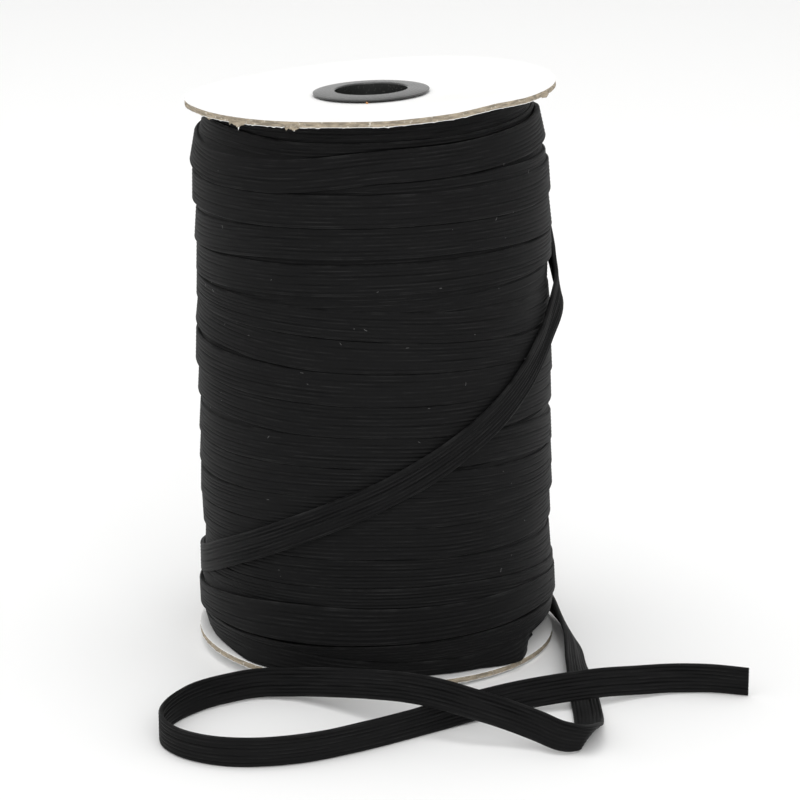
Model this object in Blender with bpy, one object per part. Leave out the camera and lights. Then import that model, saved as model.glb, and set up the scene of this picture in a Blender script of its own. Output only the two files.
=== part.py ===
"""Reel of flat braided elastic, about 81 mm across and 128 mm tall, standing on end.

Two chipboard discs are held on a black plastic hub made of two flanged bushings. The elastic,
a flat band 6.35 mm wide, is wound between the discs in rows. Its outermost turn has come loose:
it slants down across the front, passes round the left and the back, leaves the winding at the
right, turns flat onto the surface, folds over and makes one long loop with a cut end.

Blender 4.5, metres, +Z up. The reel's axis is Z and it stands on z = 0. Seen from -Y, the front,
+X is the right-hand side. Angles on the reel are measured from +X, so the front is -90 degrees.
"""

import math
from collections import namedtuple

import bmesh
import bpy
from mathutils import Vector

MM = 0.001
COLLECTION_NAME = "reel_of_elastic"

# Clearance between pieces that touch on the real reel.
GAP = 0.3 * MM

# Discs: chipboard, a little bent by use. The bottom one sits askew on its hub.
DISC_RADIUS = 40.5 * MM
DISC_THICKNESS = 1.5 * MM
DISC_SEGMENTS = 72
DISC_RINGS_TOP = 3
DISC_RINGS_BOTTOM = 1

TOP_CENTRE_HEIGHT = 125.15 * MM
TOP_DISH = 1.35 * MM
TOP_TILT_AT_HUB = math.tan(math.radians(1.8))
TOP_TILT_AT_RIM = math.tan(math.radians(2.96))

BOTTOM_CENTRE_HEIGHT = 2.8 * MM
BOTTOM_TILT = math.tan(math.radians(-1.54))

# Rim warp of the top disc: Wave = lobes round the rim, cosine and sine heights.
Wave = namedtuple("Wave", "lobes cosine sine")
TOP_WARP = (
    Wave(2, 0.17 * MM, 0.20 * MM),
    Wave(3, -0.17 * MM, -0.06 * MM),
)

# Hub: two bushings whose sleeves almost meet half-way up.
HUB_BORE = 8.0 * MM
HUB_SLEEVE = 11.0 * MM
HUB_FLANGE = 12.85 * MM
HUB_SEGMENTS = 48
HUB_MEETING_HEIGHT = 63.3 * MM
TOP_FLANGE_LIFT = 0.45 * MM
BOTTOM_FLANGE_THICKNESS = 0.6 * MM
DISC_HOLE = HUB_SLEEVE + GAP

# Winding: its bore clears the hub, and a groove parts each visible row from the next.
WINDING_BORE = HUB_SLEEVE + GAP
WINDING_SEGMENTS = 56
WINDING_FACE_RADII = (30.0 * MM, 20.0 * MM, WINDING_BORE)
FACE_GAP = 0.35 * MM
GROOVE_DEPTH = 0.7 * MM
GROOVE_HALF_WIDTH = 0.65 * MM
FRONT_FLATTENING = 0.15 * MM

# One row of the winding: the heights of the groove below it at the left, front and right of the
# reel, and how far the row stands out at the left and the right, all in millimetres.
Row = namedtuple("Row", "left front right radius_left radius_right")
WINDING_ROWS = (
    Row(116.4, 119.2, 120.3, 38.1, 37.2),
    Row(109.5, 110.3, 112.4, 39.9, 38.1),
    Row(101.4, 103.4, 103.8, 39.7, 39.4),
    Row(94.1, 95.8, 96.1, 39.4, 39.6),
    Row(86.7, 85.5, 84.0, 39.2, 39.3),
    Row(81.3, 78.8, 75.6, 39.3, 39.8),
    Row(73.4, 71.9, 70.3, 39.7, 39.8),
    Row(66.0, 64.8, 63.3, 39.8, 39.9),
    Row(57.2, 58.1, 54.3, 39.6, 39.9),
    Row(50.5, 51.0, 47.4, 39.4, 40.0),
    Row(42.0, 44.6, 43.0, 39.6, 40.0),
    Row(36.0, 37.9, 36.4, 39.6, 39.9),
    Row(29.5, 30.6, 27.8, 39.3, 39.6),
    Row(21.8, 24.0, 23.4, 38.6, 39.8),
    Row(14.0, 17.8, 17.2, 38.3, 40.3),
    Row(9.8, 11.0, 9.4, 40.4, 40.8),
    Row(5.8, 5.4, 5.2, 39.9, 39.5),
)
TOP_SHOULDER_RADIUS = (36.8, 35.3)
BOTTOM_SHOULDER_RADIUS = (37.8, 36.9)

# The loose turn and the free end are one band.
BAND_WIDTH = 6.35 * MM
BAND_THICKNESS = 1.0 * MM
BAND_STEP = 4.2 * MM
BAND_STEP_ANGLE = math.radians(11.0)

# Where the band lies round the reel: angle in degrees, then the height and radius of its middle
# in millimetres, and its twist in degrees (0 upright, 90 flat with the upper edge to its right).
Around = namedtuple("Around", "angle height radius twist")
BAND_AROUND = (
    Around(98, 106.4, 40.25, 0),
    Around(87, 106.3, 40.25, 0),
    Around(72, 105.6, 40.25, 0),
    Around(54, 103.8, 40.28, 0),
    Around(36, 100.3, 40.4, 0),
    Around(19, 94.8, 40.4, 0),
    Around(5, 88.4, 40.2, 0),
    Around(-1, 85.5, 40.5, 5),
    Around(-8, 81.9, 41.45, 13),
    Around(-20, 75.0, 40.85, 4),
    Around(-34, 67.5, 40.65, 1),
    Around(-50, 59.9, 40.6, 0),
    Around(-66, 53.4, 40.6, 0),
    Around(-84, 46.6, 40.5, 0),
    Around(-104, 40.1, 40.5, 0),
    Around(-124, 33.6, 40.5, 0),
    Around(-144, 27.5, 39.98, 0),
    Around(-164, 22.0, 39.46, 0),
    Around(-178, 19.0, 39.48, 0),
    Around(-190, 17.6, 40.35, 0),
    Around(-212, 16.3, 41.22, 0),
    Around(-240, 15.0, 41.25, 0),
    Around(-270, 13.6, 41.35, 0),
    Around(-298, 11.2, 41.45, 0),
    Around(-320, 7.8, 41.6, 0),
    Around(-338, 4.7, 41.35, 7),
)

# Where it lies beyond the reel: the position of its middle in millimetres, and its twist.
Along = namedtuple("Along", "x y z twist")
BAND_ALONG = (
    Along(41.4, 6.0, 3.45, 16),
    Along(43.05, -6.0, 3.2, 27),
    Along(44.2, -15.9, 2.9, 38),
    Along(44.2, -26.5, 2.6, 48),
    Along(44.6, -38.0, 1.65, 71),
    Along(44.8, -46.0, 0.82, 86),
    Along(44.9, -55.0, 0.75, 93),
    Along(44.6, -63.0, 1.6, 108),
    Along(44.1, -70.0, 2.7, 132),
    Along(42.6, -74.3, 3.3, 160),
    Along(39.0, -74.9, 3.7, 190),
    Along(33.1, -71.8, 5.0, 202),
    Along(27.1, -69.5, 6.6, 202),
    Along(20.1, -67.8, 8.4, 200),
    Along(13.3, -65.1, 9.6, 200),
    Along(7.1, -61.2, 9.5, 200),
    Along(-0.4, -55.0, 8.0, 200),
    Along(-9.0, -48.1, 5.9, 200),
    Along(-18.5, -42.2, 3.9, 200),
    Along(-26.0, -41.2, 3.35, 202),
    Along(-32.3, -44.0, 3.3, 202),
    Along(-38.5, -48.7, 3.3, 194),
    Along(-43.3, -55.6, 3.3, 184),
    Along(-45.3, -62.4, 3.25, 180),
    Along(-44.6, -68.6, 3.25, 180),
    Along(-41.0, -74.3, 3.25, 180),
    Along(-35.0, -78.4, 3.25, 180),
    Along(-26.5, -80.2, 3.25, 180),
    Along(-17.0, -79.0, 3.25, 180),
    Along(-5.5, -73.8, 3.25, 180),
    Along(6.0, -66.4, 3.25, 177),
    Along(20.1, -56.6, 3.4, 168),
    Along(31.5, -51.4, 4.0, 160),
    Along(41.5, -49.2, 4.8, 160),
    Along(49.0, -46.3, 4.6, 160),
    Along(56.0, -43.2, 3.8, 160),
    Along(64.1, -40.8, 3.3, 162),
    Along(72.6, -41.2, 3.3, 174),
    Along(80.5, -43.4, 3.25, 180),
)

# Finish = colour, roughness and metallic value of a material.
Finish = namedtuple("Finish", "colour roughness metallic")
CARD_FINISH = Finish((0.90, 0.89, 0.86), 0.80, 0.0)
HUB_FINISH = Finish((0.012, 0.012, 0.013), 0.35, 0.0)
ELASTIC_FINISH = Finish((0.010, 0.010, 0.011), 0.85, 0.0)


def clear_scene():
    """Remove every object that the file opened with."""
    for thing in list(bpy.data.objects):
        bpy.data.objects.remove(thing, do_unlink=True)


def make_collection(name):
    """Make the collection that holds the reel's pieces."""
    collection = bpy.data.collections.new(name)
    bpy.context.scene.collection.children.link(collection)
    return collection


def make_material(name, finish):
    """Make a plain Principled material from a finish."""
    material = bpy.data.materials.new(name)
    material.use_nodes = True
    shader = material.node_tree.nodes["Principled BSDF"]
    shader.inputs["Base Color"].default_value = (*finish.colour, 1.0)
    shader.inputs["Roughness"].default_value = finish.roughness
    shader.inputs["Metallic"].default_value = finish.metallic
    return material


def add_piece(name, solid, material, collection):
    """Turn a finished bmesh into a smooth-shaded object of the reel."""
    mesh = bpy.data.meshes.new(name)
    solid.to_mesh(mesh)
    solid.free()
    mesh.materials.append(material)
    mesh.shade_smooth()
    mesh.set_sharp_from_angle(angle=math.radians(40))
    piece = bpy.data.objects.new(name, mesh)
    collection.objects.link(piece)
    return piece


def spin_profile(profile, segments, closed):
    """Spin points (radius, height) once round Z and return the bmesh."""
    solid = bmesh.new()
    points = [solid.verts.new((radius, 0.0, height)) for radius, height in profile]
    edges = [solid.edges.new(pair) for pair in zip(points, points[1:])]
    if closed:
        edges.append(solid.edges.new((points[-1], points[0])))
    bmesh.ops.spin(solid, geom=points + edges, cent=(0, 0, 0), axis=(0, 0, 1), dvec=(0, 0, 0),
                   angle=math.tau, steps=segments, use_merge=True)
    return solid


def face_outward(solid):
    """Point every face of a closed solid away from its inside."""
    bmesh.ops.recalc_face_normals(solid, faces=solid.faces)
    if solid.calc_volume(signed=True) < 0:
        bmesh.ops.reverse_faces(solid, faces=solid.faces)


def top_disc_height(x, y):
    """Height of the top disc's upper face: dished, tilted and slightly warped."""
    radius = math.hypot(x, y)
    angle = math.atan2(y, x)
    share = (radius / DISC_RADIUS) ** 2
    tilt = TOP_TILT_AT_HUB + (TOP_TILT_AT_RIM - TOP_TILT_AT_HUB) * share
    warp = sum(wave.cosine * math.cos(wave.lobes * angle) + wave.sine * math.sin(wave.lobes * angle)
               for wave in TOP_WARP)
    return TOP_CENTRE_HEIGHT + TOP_DISH * share + tilt * x + warp * share


def bottom_disc_height(x, y):
    """Height of the bottom disc's upper face: flat, with its right side lower."""
    return BOTTOM_CENTRE_HEIGHT + BOTTOM_TILT * x


def make_disc(name, height_at, rings, material, collection):
    """Make one disc with a round hole, its upper face following height_at(x, y)."""
    radii = [DISC_HOLE + (DISC_RADIUS - DISC_HOLE) * ring / rings for ring in range(rings + 1)]
    upper = [(radius, DISC_THICKNESS) for radius in radii]
    lower = [(radius, 0.0) for radius in reversed(radii)]
    solid = spin_profile(upper + lower, DISC_SEGMENTS, closed=True)
    for vert in solid.verts:
        x, y, z = vert.co
        vert.co.z = height_at(x, y) - DISC_THICKNESS + z
    face_outward(solid)
    return add_piece(name, solid, material, collection)


def arc_points(centre, radius, start, end, steps):
    """Points on an arc in the (radius, height) plane, from start to end degrees."""
    angles = [math.radians(start + (end - start) * step / steps) for step in range(steps + 1)]
    return [(centre[0] + radius[0] * math.cos(angle), centre[1] + radius[1] * math.sin(angle))
            for angle in angles]


def make_hub_top(material, collection):
    """Upper bushing: its domed flange lies on the top disc and leans with it."""
    seat = top_disc_height(0.0, 0.0) + TOP_FLANGE_LIFT
    edge_rise = 0.35 * MM
    edge_depth = 0.45 * MM
    crown = 0.77 * MM
    bore_rounding = 0.35 * MM
    crown_radius = HUB_BORE + bore_rounding
    edge = arc_points((HUB_FLANGE - edge_depth, seat + edge_rise), (edge_depth, edge_rise),
                      -90, 0, 3)
    outer_dome = arc_points((crown_radius, seat + edge_rise),
                            (HUB_FLANGE - crown_radius, crown - edge_rise), 0, 90, 7)
    inner_dome = arc_points((crown_radius, seat + crown - bore_rounding),
                            (bore_rounding, bore_rounding), 90, 180, 4)
    profile = [(HUB_BORE, HUB_MEETING_HEIGHT), (HUB_SLEEVE, HUB_MEETING_HEIGHT), (HUB_SLEEVE, seat)]
    profile += edge + outer_dome[1:] + inner_dome[1:]
    solid = spin_profile(profile, HUB_SEGMENTS, closed=True)
    for vert in solid.verts:
        share = (vert.co.z - HUB_MEETING_HEIGHT) / (seat - HUB_MEETING_HEIGHT)
        vert.co.z += vert.co.x * TOP_TILT_AT_HUB * max(share, 0.0) ** 8
    face_outward(solid)
    return add_piece("hub_top", solid, material, collection)


def make_hub_bottom(material, collection):
    """Lower bushing: a thin flat flange that the reel stands on, and a straight sleeve."""
    rounding = 0.35 * MM
    sleeve_end = HUB_MEETING_HEIGHT - GAP
    outer_edge = arc_points((HUB_FLANGE - rounding, rounding), (rounding, rounding), 0, -90, 3)
    inner_edge = arc_points((HUB_BORE + 2 * rounding, 2 * rounding),
                            (2 * rounding, 2 * rounding), -90, -180, 4)
    profile = [(HUB_SLEEVE, sleeve_end), (HUB_SLEEVE, BOTTOM_FLANGE_THICKNESS),
               (HUB_FLANGE, BOTTOM_FLANGE_THICKNESS)]
    profile += outer_edge + inner_edge + [(HUB_BORE, sleeve_end)]
    solid = spin_profile(profile, HUB_SEGMENTS, closed=True)
    face_outward(solid)
    return add_piece("hub_bottom", solid, material, collection)


def round_the_reel(left, front, right, angle, back=None):
    """Blend values given at the left, front and right of the reel smoothly to any angle."""
    across = 0.5 * (left + right)
    back = across if back is None else back
    along = 0.5 * (front + back)
    return (0.5 * (across + along) + 0.5 * (right - left) * math.cos(angle)
            + 0.5 * (back - front) * math.sin(angle)
            + 0.5 * (across - along) * math.cos(2 * angle))


def row_radius(radius_left, radius_right, angle):
    """How far a row stands out at an angle; front and back are a little flatter."""
    flattened = 0.5 * (radius_left + radius_right) - FRONT_FLATTENING / MM
    return MM * round_the_reel(radius_left, flattened, radius_right, angle, back=flattened)


def groove_height(row, angle):
    """Height of the groove below a row at an angle."""
    return MM * round_the_reel(row.left, row.front, row.right, angle)


def winding_outline(angle):
    """Points (radius, height) of the winding's section at an angle, from top to bottom.

    The upper and lower faces follow the discs. Each row has an upper and a lower edge, and the
    groove below it is cut in.
    """
    across = Vector((math.cos(angle), math.sin(angle)))

    def under_top_disc(radius):
        return top_disc_height(*(across * radius)) - DISC_THICKNESS - FACE_GAP

    def over_bottom_disc(radius):
        return bottom_disc_height(*(across * radius)) + FACE_GAP

    shoulder = row_radius(*TOP_SHOULDER_RADIUS, angle)
    points = [(shoulder, under_top_disc(shoulder))]
    upper_edge = points[0][1] - 2 * GROOVE_HALF_WIDTH
    for row, below in zip(WINDING_ROWS, WINDING_ROWS[1:] + (None,)):
        radius = row_radius(row.radius_left, row.radius_right, angle)
        groove = groove_height(row, angle)
        if below:
            radius_below = row_radius(below.radius_left, below.radius_right, angle)
        else:
            radius_below = row_radius(*BOTTOM_SHOULDER_RADIUS, angle)
        points.append((radius, upper_edge))
        points.append((radius, groove + GROOVE_HALF_WIDTH))
        points.append((min(radius, radius_below) - GROOVE_DEPTH, groove))
        upper_edge = groove - GROOVE_HALF_WIDTH
    shoulder = row_radius(*BOTTOM_SHOULDER_RADIUS, angle)
    points.append((shoulder, upper_edge))
    points.append((shoulder, over_bottom_disc(shoulder)))
    points += [(radius, over_bottom_disc(radius)) for radius in WINDING_FACE_RADII]
    points += [(radius, under_top_disc(radius)) for radius in reversed(WINDING_FACE_RADII)]
    return points


def make_winding(material, collection):
    """The wound elastic as one solid: a spun stack of rows, then each point set by its angle."""
    count = len(winding_outline(0.0))
    solid = spin_profile([(DISC_RADIUS, index * MM) for index in range(count)],
                         WINDING_SEGMENTS, closed=True)
    for vert in solid.verts:
        angle = math.atan2(vert.co.y, vert.co.x)
        radius, height = winding_outline(angle)[round(vert.co.z / MM)]
        vert.co = (radius * math.cos(angle), radius * math.sin(angle), height)
    face_outward(solid)
    return add_piece("winding", solid, material, collection)


def band_stations():
    """The band's middle points in metres, and its twist at each in radians."""
    stations = []
    for around in BAND_AROUND:
        angle = math.radians(around.angle)
        place = Vector((around.radius * math.cos(angle), around.radius * math.sin(angle),
                        around.height))
        stations.append((place * MM, math.radians(around.twist)))
    for along in BAND_ALONG:
        stations.append((Vector((along.x, along.y, along.z)) * MM, math.radians(along.twist)))
    return stations


def smooth_route(stations):
    """Read a smooth curve through the stations, closer together where the band turns fast."""
    values = [Vector((*place, twist)) for place, twist in stations]
    spans = [(b[0] - a[0]).length for a, b in zip(stations, stations[1:])]
    slopes = [(b - a) / span for a, b, span in zip(values, values[1:], spans)]
    tangents = [slopes[0]]
    for before, after, span_before, span_after in zip(slopes, slopes[1:], spans, spans[1:]):
        tangents.append((before * span_after + after * span_before) / (span_before + span_after))
    tangents.append(slopes[-1])

    route = [values[0]]
    for index, span in enumerate(spans):
        start, end = values[index], values[index + 1]
        pull, push = tangents[index] * span, tangents[index + 1] * span
        turn = tangents[index].xyz.angle(tangents[index + 1].xyz) + abs(end.w - start.w)
        steps = max(2, math.ceil(span / BAND_STEP), math.ceil(turn / BAND_STEP_ANGLE))
        for step in range(1, steps + 1):
            u = step / steps
            route.append(start * (2 * u ** 3 - 3 * u ** 2 + 1) + pull * (u ** 3 - 2 * u ** 2 + u)
                         + end * (3 * u ** 2 - 2 * u ** 3) + push * (u ** 3 - u ** 2))
    return route


def band_corners(route, index):
    """The four corners of the band's section at one point of its route."""
    before = route[max(index - 1, 0)].xyz
    after = route[min(index + 1, len(route) - 1)].xyz
    heading = (after - before).normalized()
    upright = Vector((0, 0, 1))
    upright = (upright - heading * upright.dot(heading)).normalized()
    sideways = heading.cross(upright)
    twist = route[index].w
    across = upright * math.cos(twist) + sideways * math.sin(twist)
    outward = heading.cross(across)
    half_width = across * (BAND_WIDTH / 2)
    half_thickness = outward * (BAND_THICKNESS / 2)
    middle = route[index].xyz
    return [middle - half_width - half_thickness, middle + half_width - half_thickness,
            middle + half_width + half_thickness, middle - half_width + half_thickness]


def make_band(material, collection):
    """The loose turn and free end: one flat section drawn along the route."""
    route = smooth_route(band_stations())
    solid = bmesh.new()
    start = solid.faces.new([solid.verts.new(corner) for corner in band_corners(route, 0)])
    ends = [start.copy()]
    ring = list(start.verts)
    bmesh.ops.delete(solid, geom=ends, context="FACES_ONLY")
    for index in range(1, len(route)):
        corners = band_corners(route, index)
        loop = [next(edge for edge in a.link_edges if b in edge.verts)
                for a, b in zip(ring, ring[1:] + ring[:1])]
        grown = bmesh.ops.extrude_edge_only(solid, edges=loop)["geom"]
        fresh = [item for item in grown if isinstance(item, bmesh.types.BMVert)]
        ring = [min(fresh, key=lambda vert, old=old: (vert.co - old.co).length_squared)
                for old in ring]
        for vert, corner in zip(ring, corners):
            vert.co = corner
    solid.faces.new(ring)
    face_outward(solid)
    return add_piece("tail", solid, material, collection)


def main():
    """Build the six pieces of the reel."""
    clear_scene()
    collection = make_collection(COLLECTION_NAME)
    card = make_material("card", CARD_FINISH)
    card_below = make_material("card_below", CARD_FINISH)
    plastic = make_material("hub_plastic", HUB_FINISH)
    plastic_below = make_material("hub_plastic_below", HUB_FINISH)
    elastic = make_material("wound_elastic", ELASTIC_FINISH)
    loose_elastic = make_material("loose_elastic", ELASTIC_FINISH)
    make_disc("disc_top", top_disc_height, DISC_RINGS_TOP, card, collection)
    make_disc("disc_bottom", bottom_disc_height, DISC_RINGS_BOTTOM, card_below, collection)
    make_hub_top(plastic, collection)
    make_hub_bottom(plastic_below, collection)
    make_winding(elastic, collection)
    make_band(loose_elastic, collection)


main()
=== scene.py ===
"""Looks of a reel of flat braided elastic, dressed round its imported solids.

Metres, +Z up, the reel's axis on Z. Angles on the reel are measured from +X, so the front is
-90 degrees. The elastic is wound clockwise seen from above.
"""

import logging
import math
from dataclasses import dataclass
from enum import Enum

import bmesh
import bpy
import numpy as np
from bmesh.types import BMesh, BMVert
from bpy.types import Material, Node, NodeSocket, Object, ShaderNodeTree
from mathutils import Matrix, Vector, noise


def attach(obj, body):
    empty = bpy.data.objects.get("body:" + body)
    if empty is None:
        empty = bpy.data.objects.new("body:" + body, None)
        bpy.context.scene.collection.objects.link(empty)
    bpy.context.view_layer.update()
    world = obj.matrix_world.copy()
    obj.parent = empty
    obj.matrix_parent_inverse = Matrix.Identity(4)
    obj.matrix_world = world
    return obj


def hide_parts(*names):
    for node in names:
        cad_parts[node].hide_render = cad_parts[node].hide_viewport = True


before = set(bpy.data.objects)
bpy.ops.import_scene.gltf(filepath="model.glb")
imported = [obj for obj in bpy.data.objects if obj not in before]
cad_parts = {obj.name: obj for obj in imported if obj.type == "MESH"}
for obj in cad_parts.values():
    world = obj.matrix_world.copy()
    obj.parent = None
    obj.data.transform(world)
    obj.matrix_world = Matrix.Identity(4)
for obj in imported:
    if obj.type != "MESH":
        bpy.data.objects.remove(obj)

MM = 0.001
BODY = "root"
BAND_UV = "band"
LOG = logging.getLogger("reel_of_elastic")
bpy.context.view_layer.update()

Colour = tuple[float, float, float]
Pair = tuple[float, float]


class Slot(Enum):
    """The record's material slots."""

    CARD = "card"
    HUB = "hub_plastic"
    ELASTIC = "elastic"


# ---------------------------------------------------------------------------------------------
# Shader helpers and shared groups


def new_group(name: str, inputs: dict[str, float], outputs: tuple[str, ...]) -> ShaderNodeTree:
    """Make an empty shader node group whose sockets are plain numbers.

    Args:
        name: The group's name.
        inputs: Each input's name and default value.
        outputs: The outputs' names.

    Returns:
        The group, holding its input and output nodes.
    """
    group = bpy.data.node_groups.new(name, "ShaderNodeTree")
    for socket, value in inputs.items():
        made = group.interface.new_socket(socket, in_out="INPUT", socket_type="NodeSocketFloat")
        made.default_value = value
    for socket in outputs:
        group.interface.new_socket(socket, in_out="OUTPUT", socket_type="NodeSocketFloat")
    group.nodes.new("NodeGroupInput")
    group.nodes.new("NodeGroupOutput")
    return group


@dataclass(frozen=True)
class Wiring:
    """A short hand for adding nodes to a tree and joining them."""

    tree: ShaderNodeTree

    def add(self, kind: str, **settings: object) -> Node:
        """Add a node.

        Args:
            kind: The node's type.
            settings: The properties to set on it.

        Returns:
            The node.
        """
        node = self.tree.nodes.new(kind)
        for name, value in settings.items():
            setattr(node, name, value)
        return node

    def feed(self, value: NodeSocket | Colour | float, target: NodeSocket) -> None:
        """Join a socket to a target, or set the target.

        Args:
            value: A socket, a colour or a number.
            target: The socket that takes it.
        """
        if isinstance(value, NodeSocket):
            self.tree.links.new(value, target)
        elif isinstance(value, tuple):
            target.default_value = (*value, 1.0)
        else:
            target.default_value = value

    def math(self, operation: str, *values: NodeSocket | float) -> NodeSocket:
        """Add a Math node.

        Args:
            operation: The node's operation.
            values: A socket or a number for each of its inputs.

        Returns:
            The node's output socket.
        """
        node = self.add("ShaderNodeMath", operation=operation)
        for value, socket in zip(values, node.inputs):
            self.feed(value, socket)
        return node.outputs[0]

    def distance(self, value: NodeSocket, centre: float) -> NodeSocket:
        """How far a value is from a centre."""
        return self.math("ABSOLUTE", self.math("SUBTRACT", value, centre))

    def noise(self, place: NodeSocket, scale: NodeSocket | float, detail: float,
              roughness: float = 0.5) -> NodeSocket:
        """Add a Noise Texture.

        Args:
            place: Where it is read.
            scale: Its scale.
            detail: Its detail.
            roughness: How strong its finest part is.

        Returns:
            Its Fac socket.
        """
        node = self.add("ShaderNodeTexNoise")
        self.feed(place, node.inputs["Vector"])
        self.feed(scale, node.inputs["Scale"])
        node.inputs["Detail"].default_value = detail
        node.inputs["Roughness"].default_value = roughness
        return node.outputs["Fac"]

    def mix(self, share: NodeSocket, low: NodeSocket | Colour, high: Colour) -> NodeSocket:
        """Mix two colours.

        Args:
            share: How much of the second one there is, from 0 to 1.
            low: The first colour.
            high: The second colour.

        Returns:
            The mixed colour's socket.
        """
        node = self.add("ShaderNodeMix", data_type="RGBA")
        for value, index in ((share, 0), (low, 6), (high, 7)):
            self.feed(value, node.inputs[index])
        return node.outputs[2]

    def spread(self, value: NodeSocket, span: Pair) -> NodeSocket:
        """Stretch a value so that a span of it runs from 0 to 1, and clamp it.

        Args:
            value: The value.
            span: What becomes 0 and what becomes 1.

        Returns:
            The stretched value's socket.
        """
        node = self.add("ShaderNodeMapRange", clamp=True)
        node.inputs["From Min"].default_value, node.inputs["From Max"].default_value = span
        self.feed(value, node.inputs["Value"])
        return node.outputs["Result"]


@dataclass(frozen=True)
class Braid:
    """The braid of the elastic, read from the band's UV map in ribs across and metres along.

    Each rib has a painted highlight on its crest, broken along the band, and painted shade in the
    valleys at both sides; fine stitches slant off it, and both band edges have painted highlights
    in places.
    """

    lane_step: float = 7.31
    irregularity_scale: float = 95.0
    irregularity_detail: float = 4.0
    irregularity_roughness: float = 0.65
    # These shape the painted highlights on the crests and edges, and the painted shade in the
    # valleys.
    highlight_place: float = 0.42
    highlight_span: Pair = (0.17, 0.04)
    highlight_break: Pair = (0.47, 0.74)
    edge_highlight_span: Pair = (0.462, 0.488)
    edge_highlight_break: Pair = (0.42, 0.60)
    valley_shade_span: Pair = (0.36, 0.5)
    stitch_drift: float = 1.6

    def make(self, ribs: int) -> ShaderNodeTree:
        """Make the group.

        Args:
            ribs: How many ribs lie across the band.

        Returns:
            A group with the inputs Stitch and Slant and the outputs Stitches, ValleyShade, a mask
            of painted shade, and CrestHighlight, a mask of painted highlights.
        """
        group = new_group("braid", {"Stitch": 0.5 * MM, "Slant": 0.75},
                          ("Stitches", "ValleyShade", "CrestHighlight"))
        wiring = Wiring(group)
        given, result = group.nodes["Group Input"], group.nodes["Group Output"]
        uv = wiring.add("ShaderNodeUVMap", uv_map=BAND_UV)
        split = wiring.add("ShaderNodeSeparateXYZ")
        wiring.feed(uv.outputs["UV"], split.inputs["Vector"])
        across, along = split.outputs["X"], split.outputs["Y"]
        ribbed = wiring.math("MULTIPLY", across, float(ribs))
        place = wiring.math("FRACT", ribbed)
        off_rib = wiring.distance(place, 0.5)

        lane = wiring.add("ShaderNodeCombineXYZ")
        number = wiring.math("FLOOR", ribbed)
        wiring.feed(wiring.math("MULTIPLY", number, self.lane_step), lane.inputs["X"])
        wiring.feed(wiring.math("MULTIPLY", along, self.irregularity_scale), lane.inputs["Y"])
        # A noise for each rib lane: it breaks the painted highlights along the band and makes the
        # stitches drift.
        irregularity = wiring.noise(lane.outputs["Vector"], 1.0, self.irregularity_detail, self.irregularity_roughness)
        # Painted highlight: a thin bright line near each rib's crest and at both edges of the
        # band.
        on_highlight = wiring.spread(wiring.distance(place, self.highlight_place), self.highlight_span)
        painted_crest_highlight = wiring.math("MULTIPLY", on_highlight, wiring.spread(irregularity, self.highlight_break))
        at_edge = wiring.spread(wiring.distance(across, 0.5), self.edge_highlight_span)
        edge = wiring.math("MULTIPLY", at_edge, wiring.spread(irregularity, self.edge_highlight_break))
        wiring.feed(wiring.math("MAXIMUM", painted_crest_highlight, edge), result.inputs["CrestHighlight"])

        stitch = wiring.math("DIVIDE", along, given.outputs["Stitch"])
        drifting = wiring.math("ADD", stitch, wiring.math("MULTIPLY", irregularity, self.stitch_drift))
        slanting = wiring.math("MULTIPLY", off_rib, given.outputs["Slant"])
        turn = wiring.math("MULTIPLY", wiring.math("ADD", drifting, slanting), math.tau)
        wave = wiring.math("MULTIPLY_ADD", wiring.math("SINE", turn), 0.5, 0.5)
        wiring.feed(wave, result.inputs["Stitches"])
        # Painted shade: a mask that darkens the valleys between the ribs.
        wiring.feed(wiring.spread(off_rib, self.valley_shade_span), result.inputs["ValleyShade"])
        return group


def fleck_group() -> ShaderNodeTree:
    """Small soft flecks and drifts of tone, used on every finish.

    Returns:
        A group with the inputs Fine and Broad, both scales, and the outputs Flecks and Drift.
    """
    group = new_group("flecks", {"Fine": 900.0, "Broad": 60.0}, ("Flecks", "Drift"))
    wiring = Wiring(group)
    given, result = group.nodes["Group Input"], group.nodes["Group Output"]
    where = wiring.add("ShaderNodeTexCoord").outputs["Object"]
    for scale, detail, name in (("Fine", 3.0, "Flecks"), ("Broad", 4.0, "Drift")):
        wiring.feed(wiring.noise(where, given.outputs[scale], detail), result.inputs[name])
    return group


# ---------------------------------------------------------------------------------------------
# Finishes


@dataclass(frozen=True)
class Bench:
    """An open material: its wiring, its Principled shader and the shared braid group."""

    wiring: Wiring
    shader: Node
    braid: ShaderNodeTree

    def group(self, tree: ShaderNodeTree, **values: float) -> Node:
        """Place a shared group.

        Args:
            tree: The group.
            values: What its inputs are set to.

        Returns:
            The group's node.
        """
        node = self.wiring.add("ShaderNodeGroup", node_tree=tree)
        for name, value in values.items():
            node.inputs[name].default_value = value
        return node

    def colour(self, socket: NodeSocket) -> None:
        """Feed the base colour."""
        self.wiring.feed(socket, self.shader.inputs["Base Color"])

    def bump(self, height: NodeSocket, strength: float, depth: float) -> None:
        """Feed the normal through a Bump node.

        Args:
            height: The height from 0 to 1.
            strength: The bump's strength.
            depth: What a height of 1 is, in metres.
        """
        node = self.wiring.add("ShaderNodeBump")
        node.inputs["Strength"].default_value = strength
        node.inputs["Distance"].default_value = depth
        self.wiring.feed(height, node.inputs["Height"])
        self.wiring.feed(node.outputs["Normal"], self.shader.inputs["Normal"])


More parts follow.
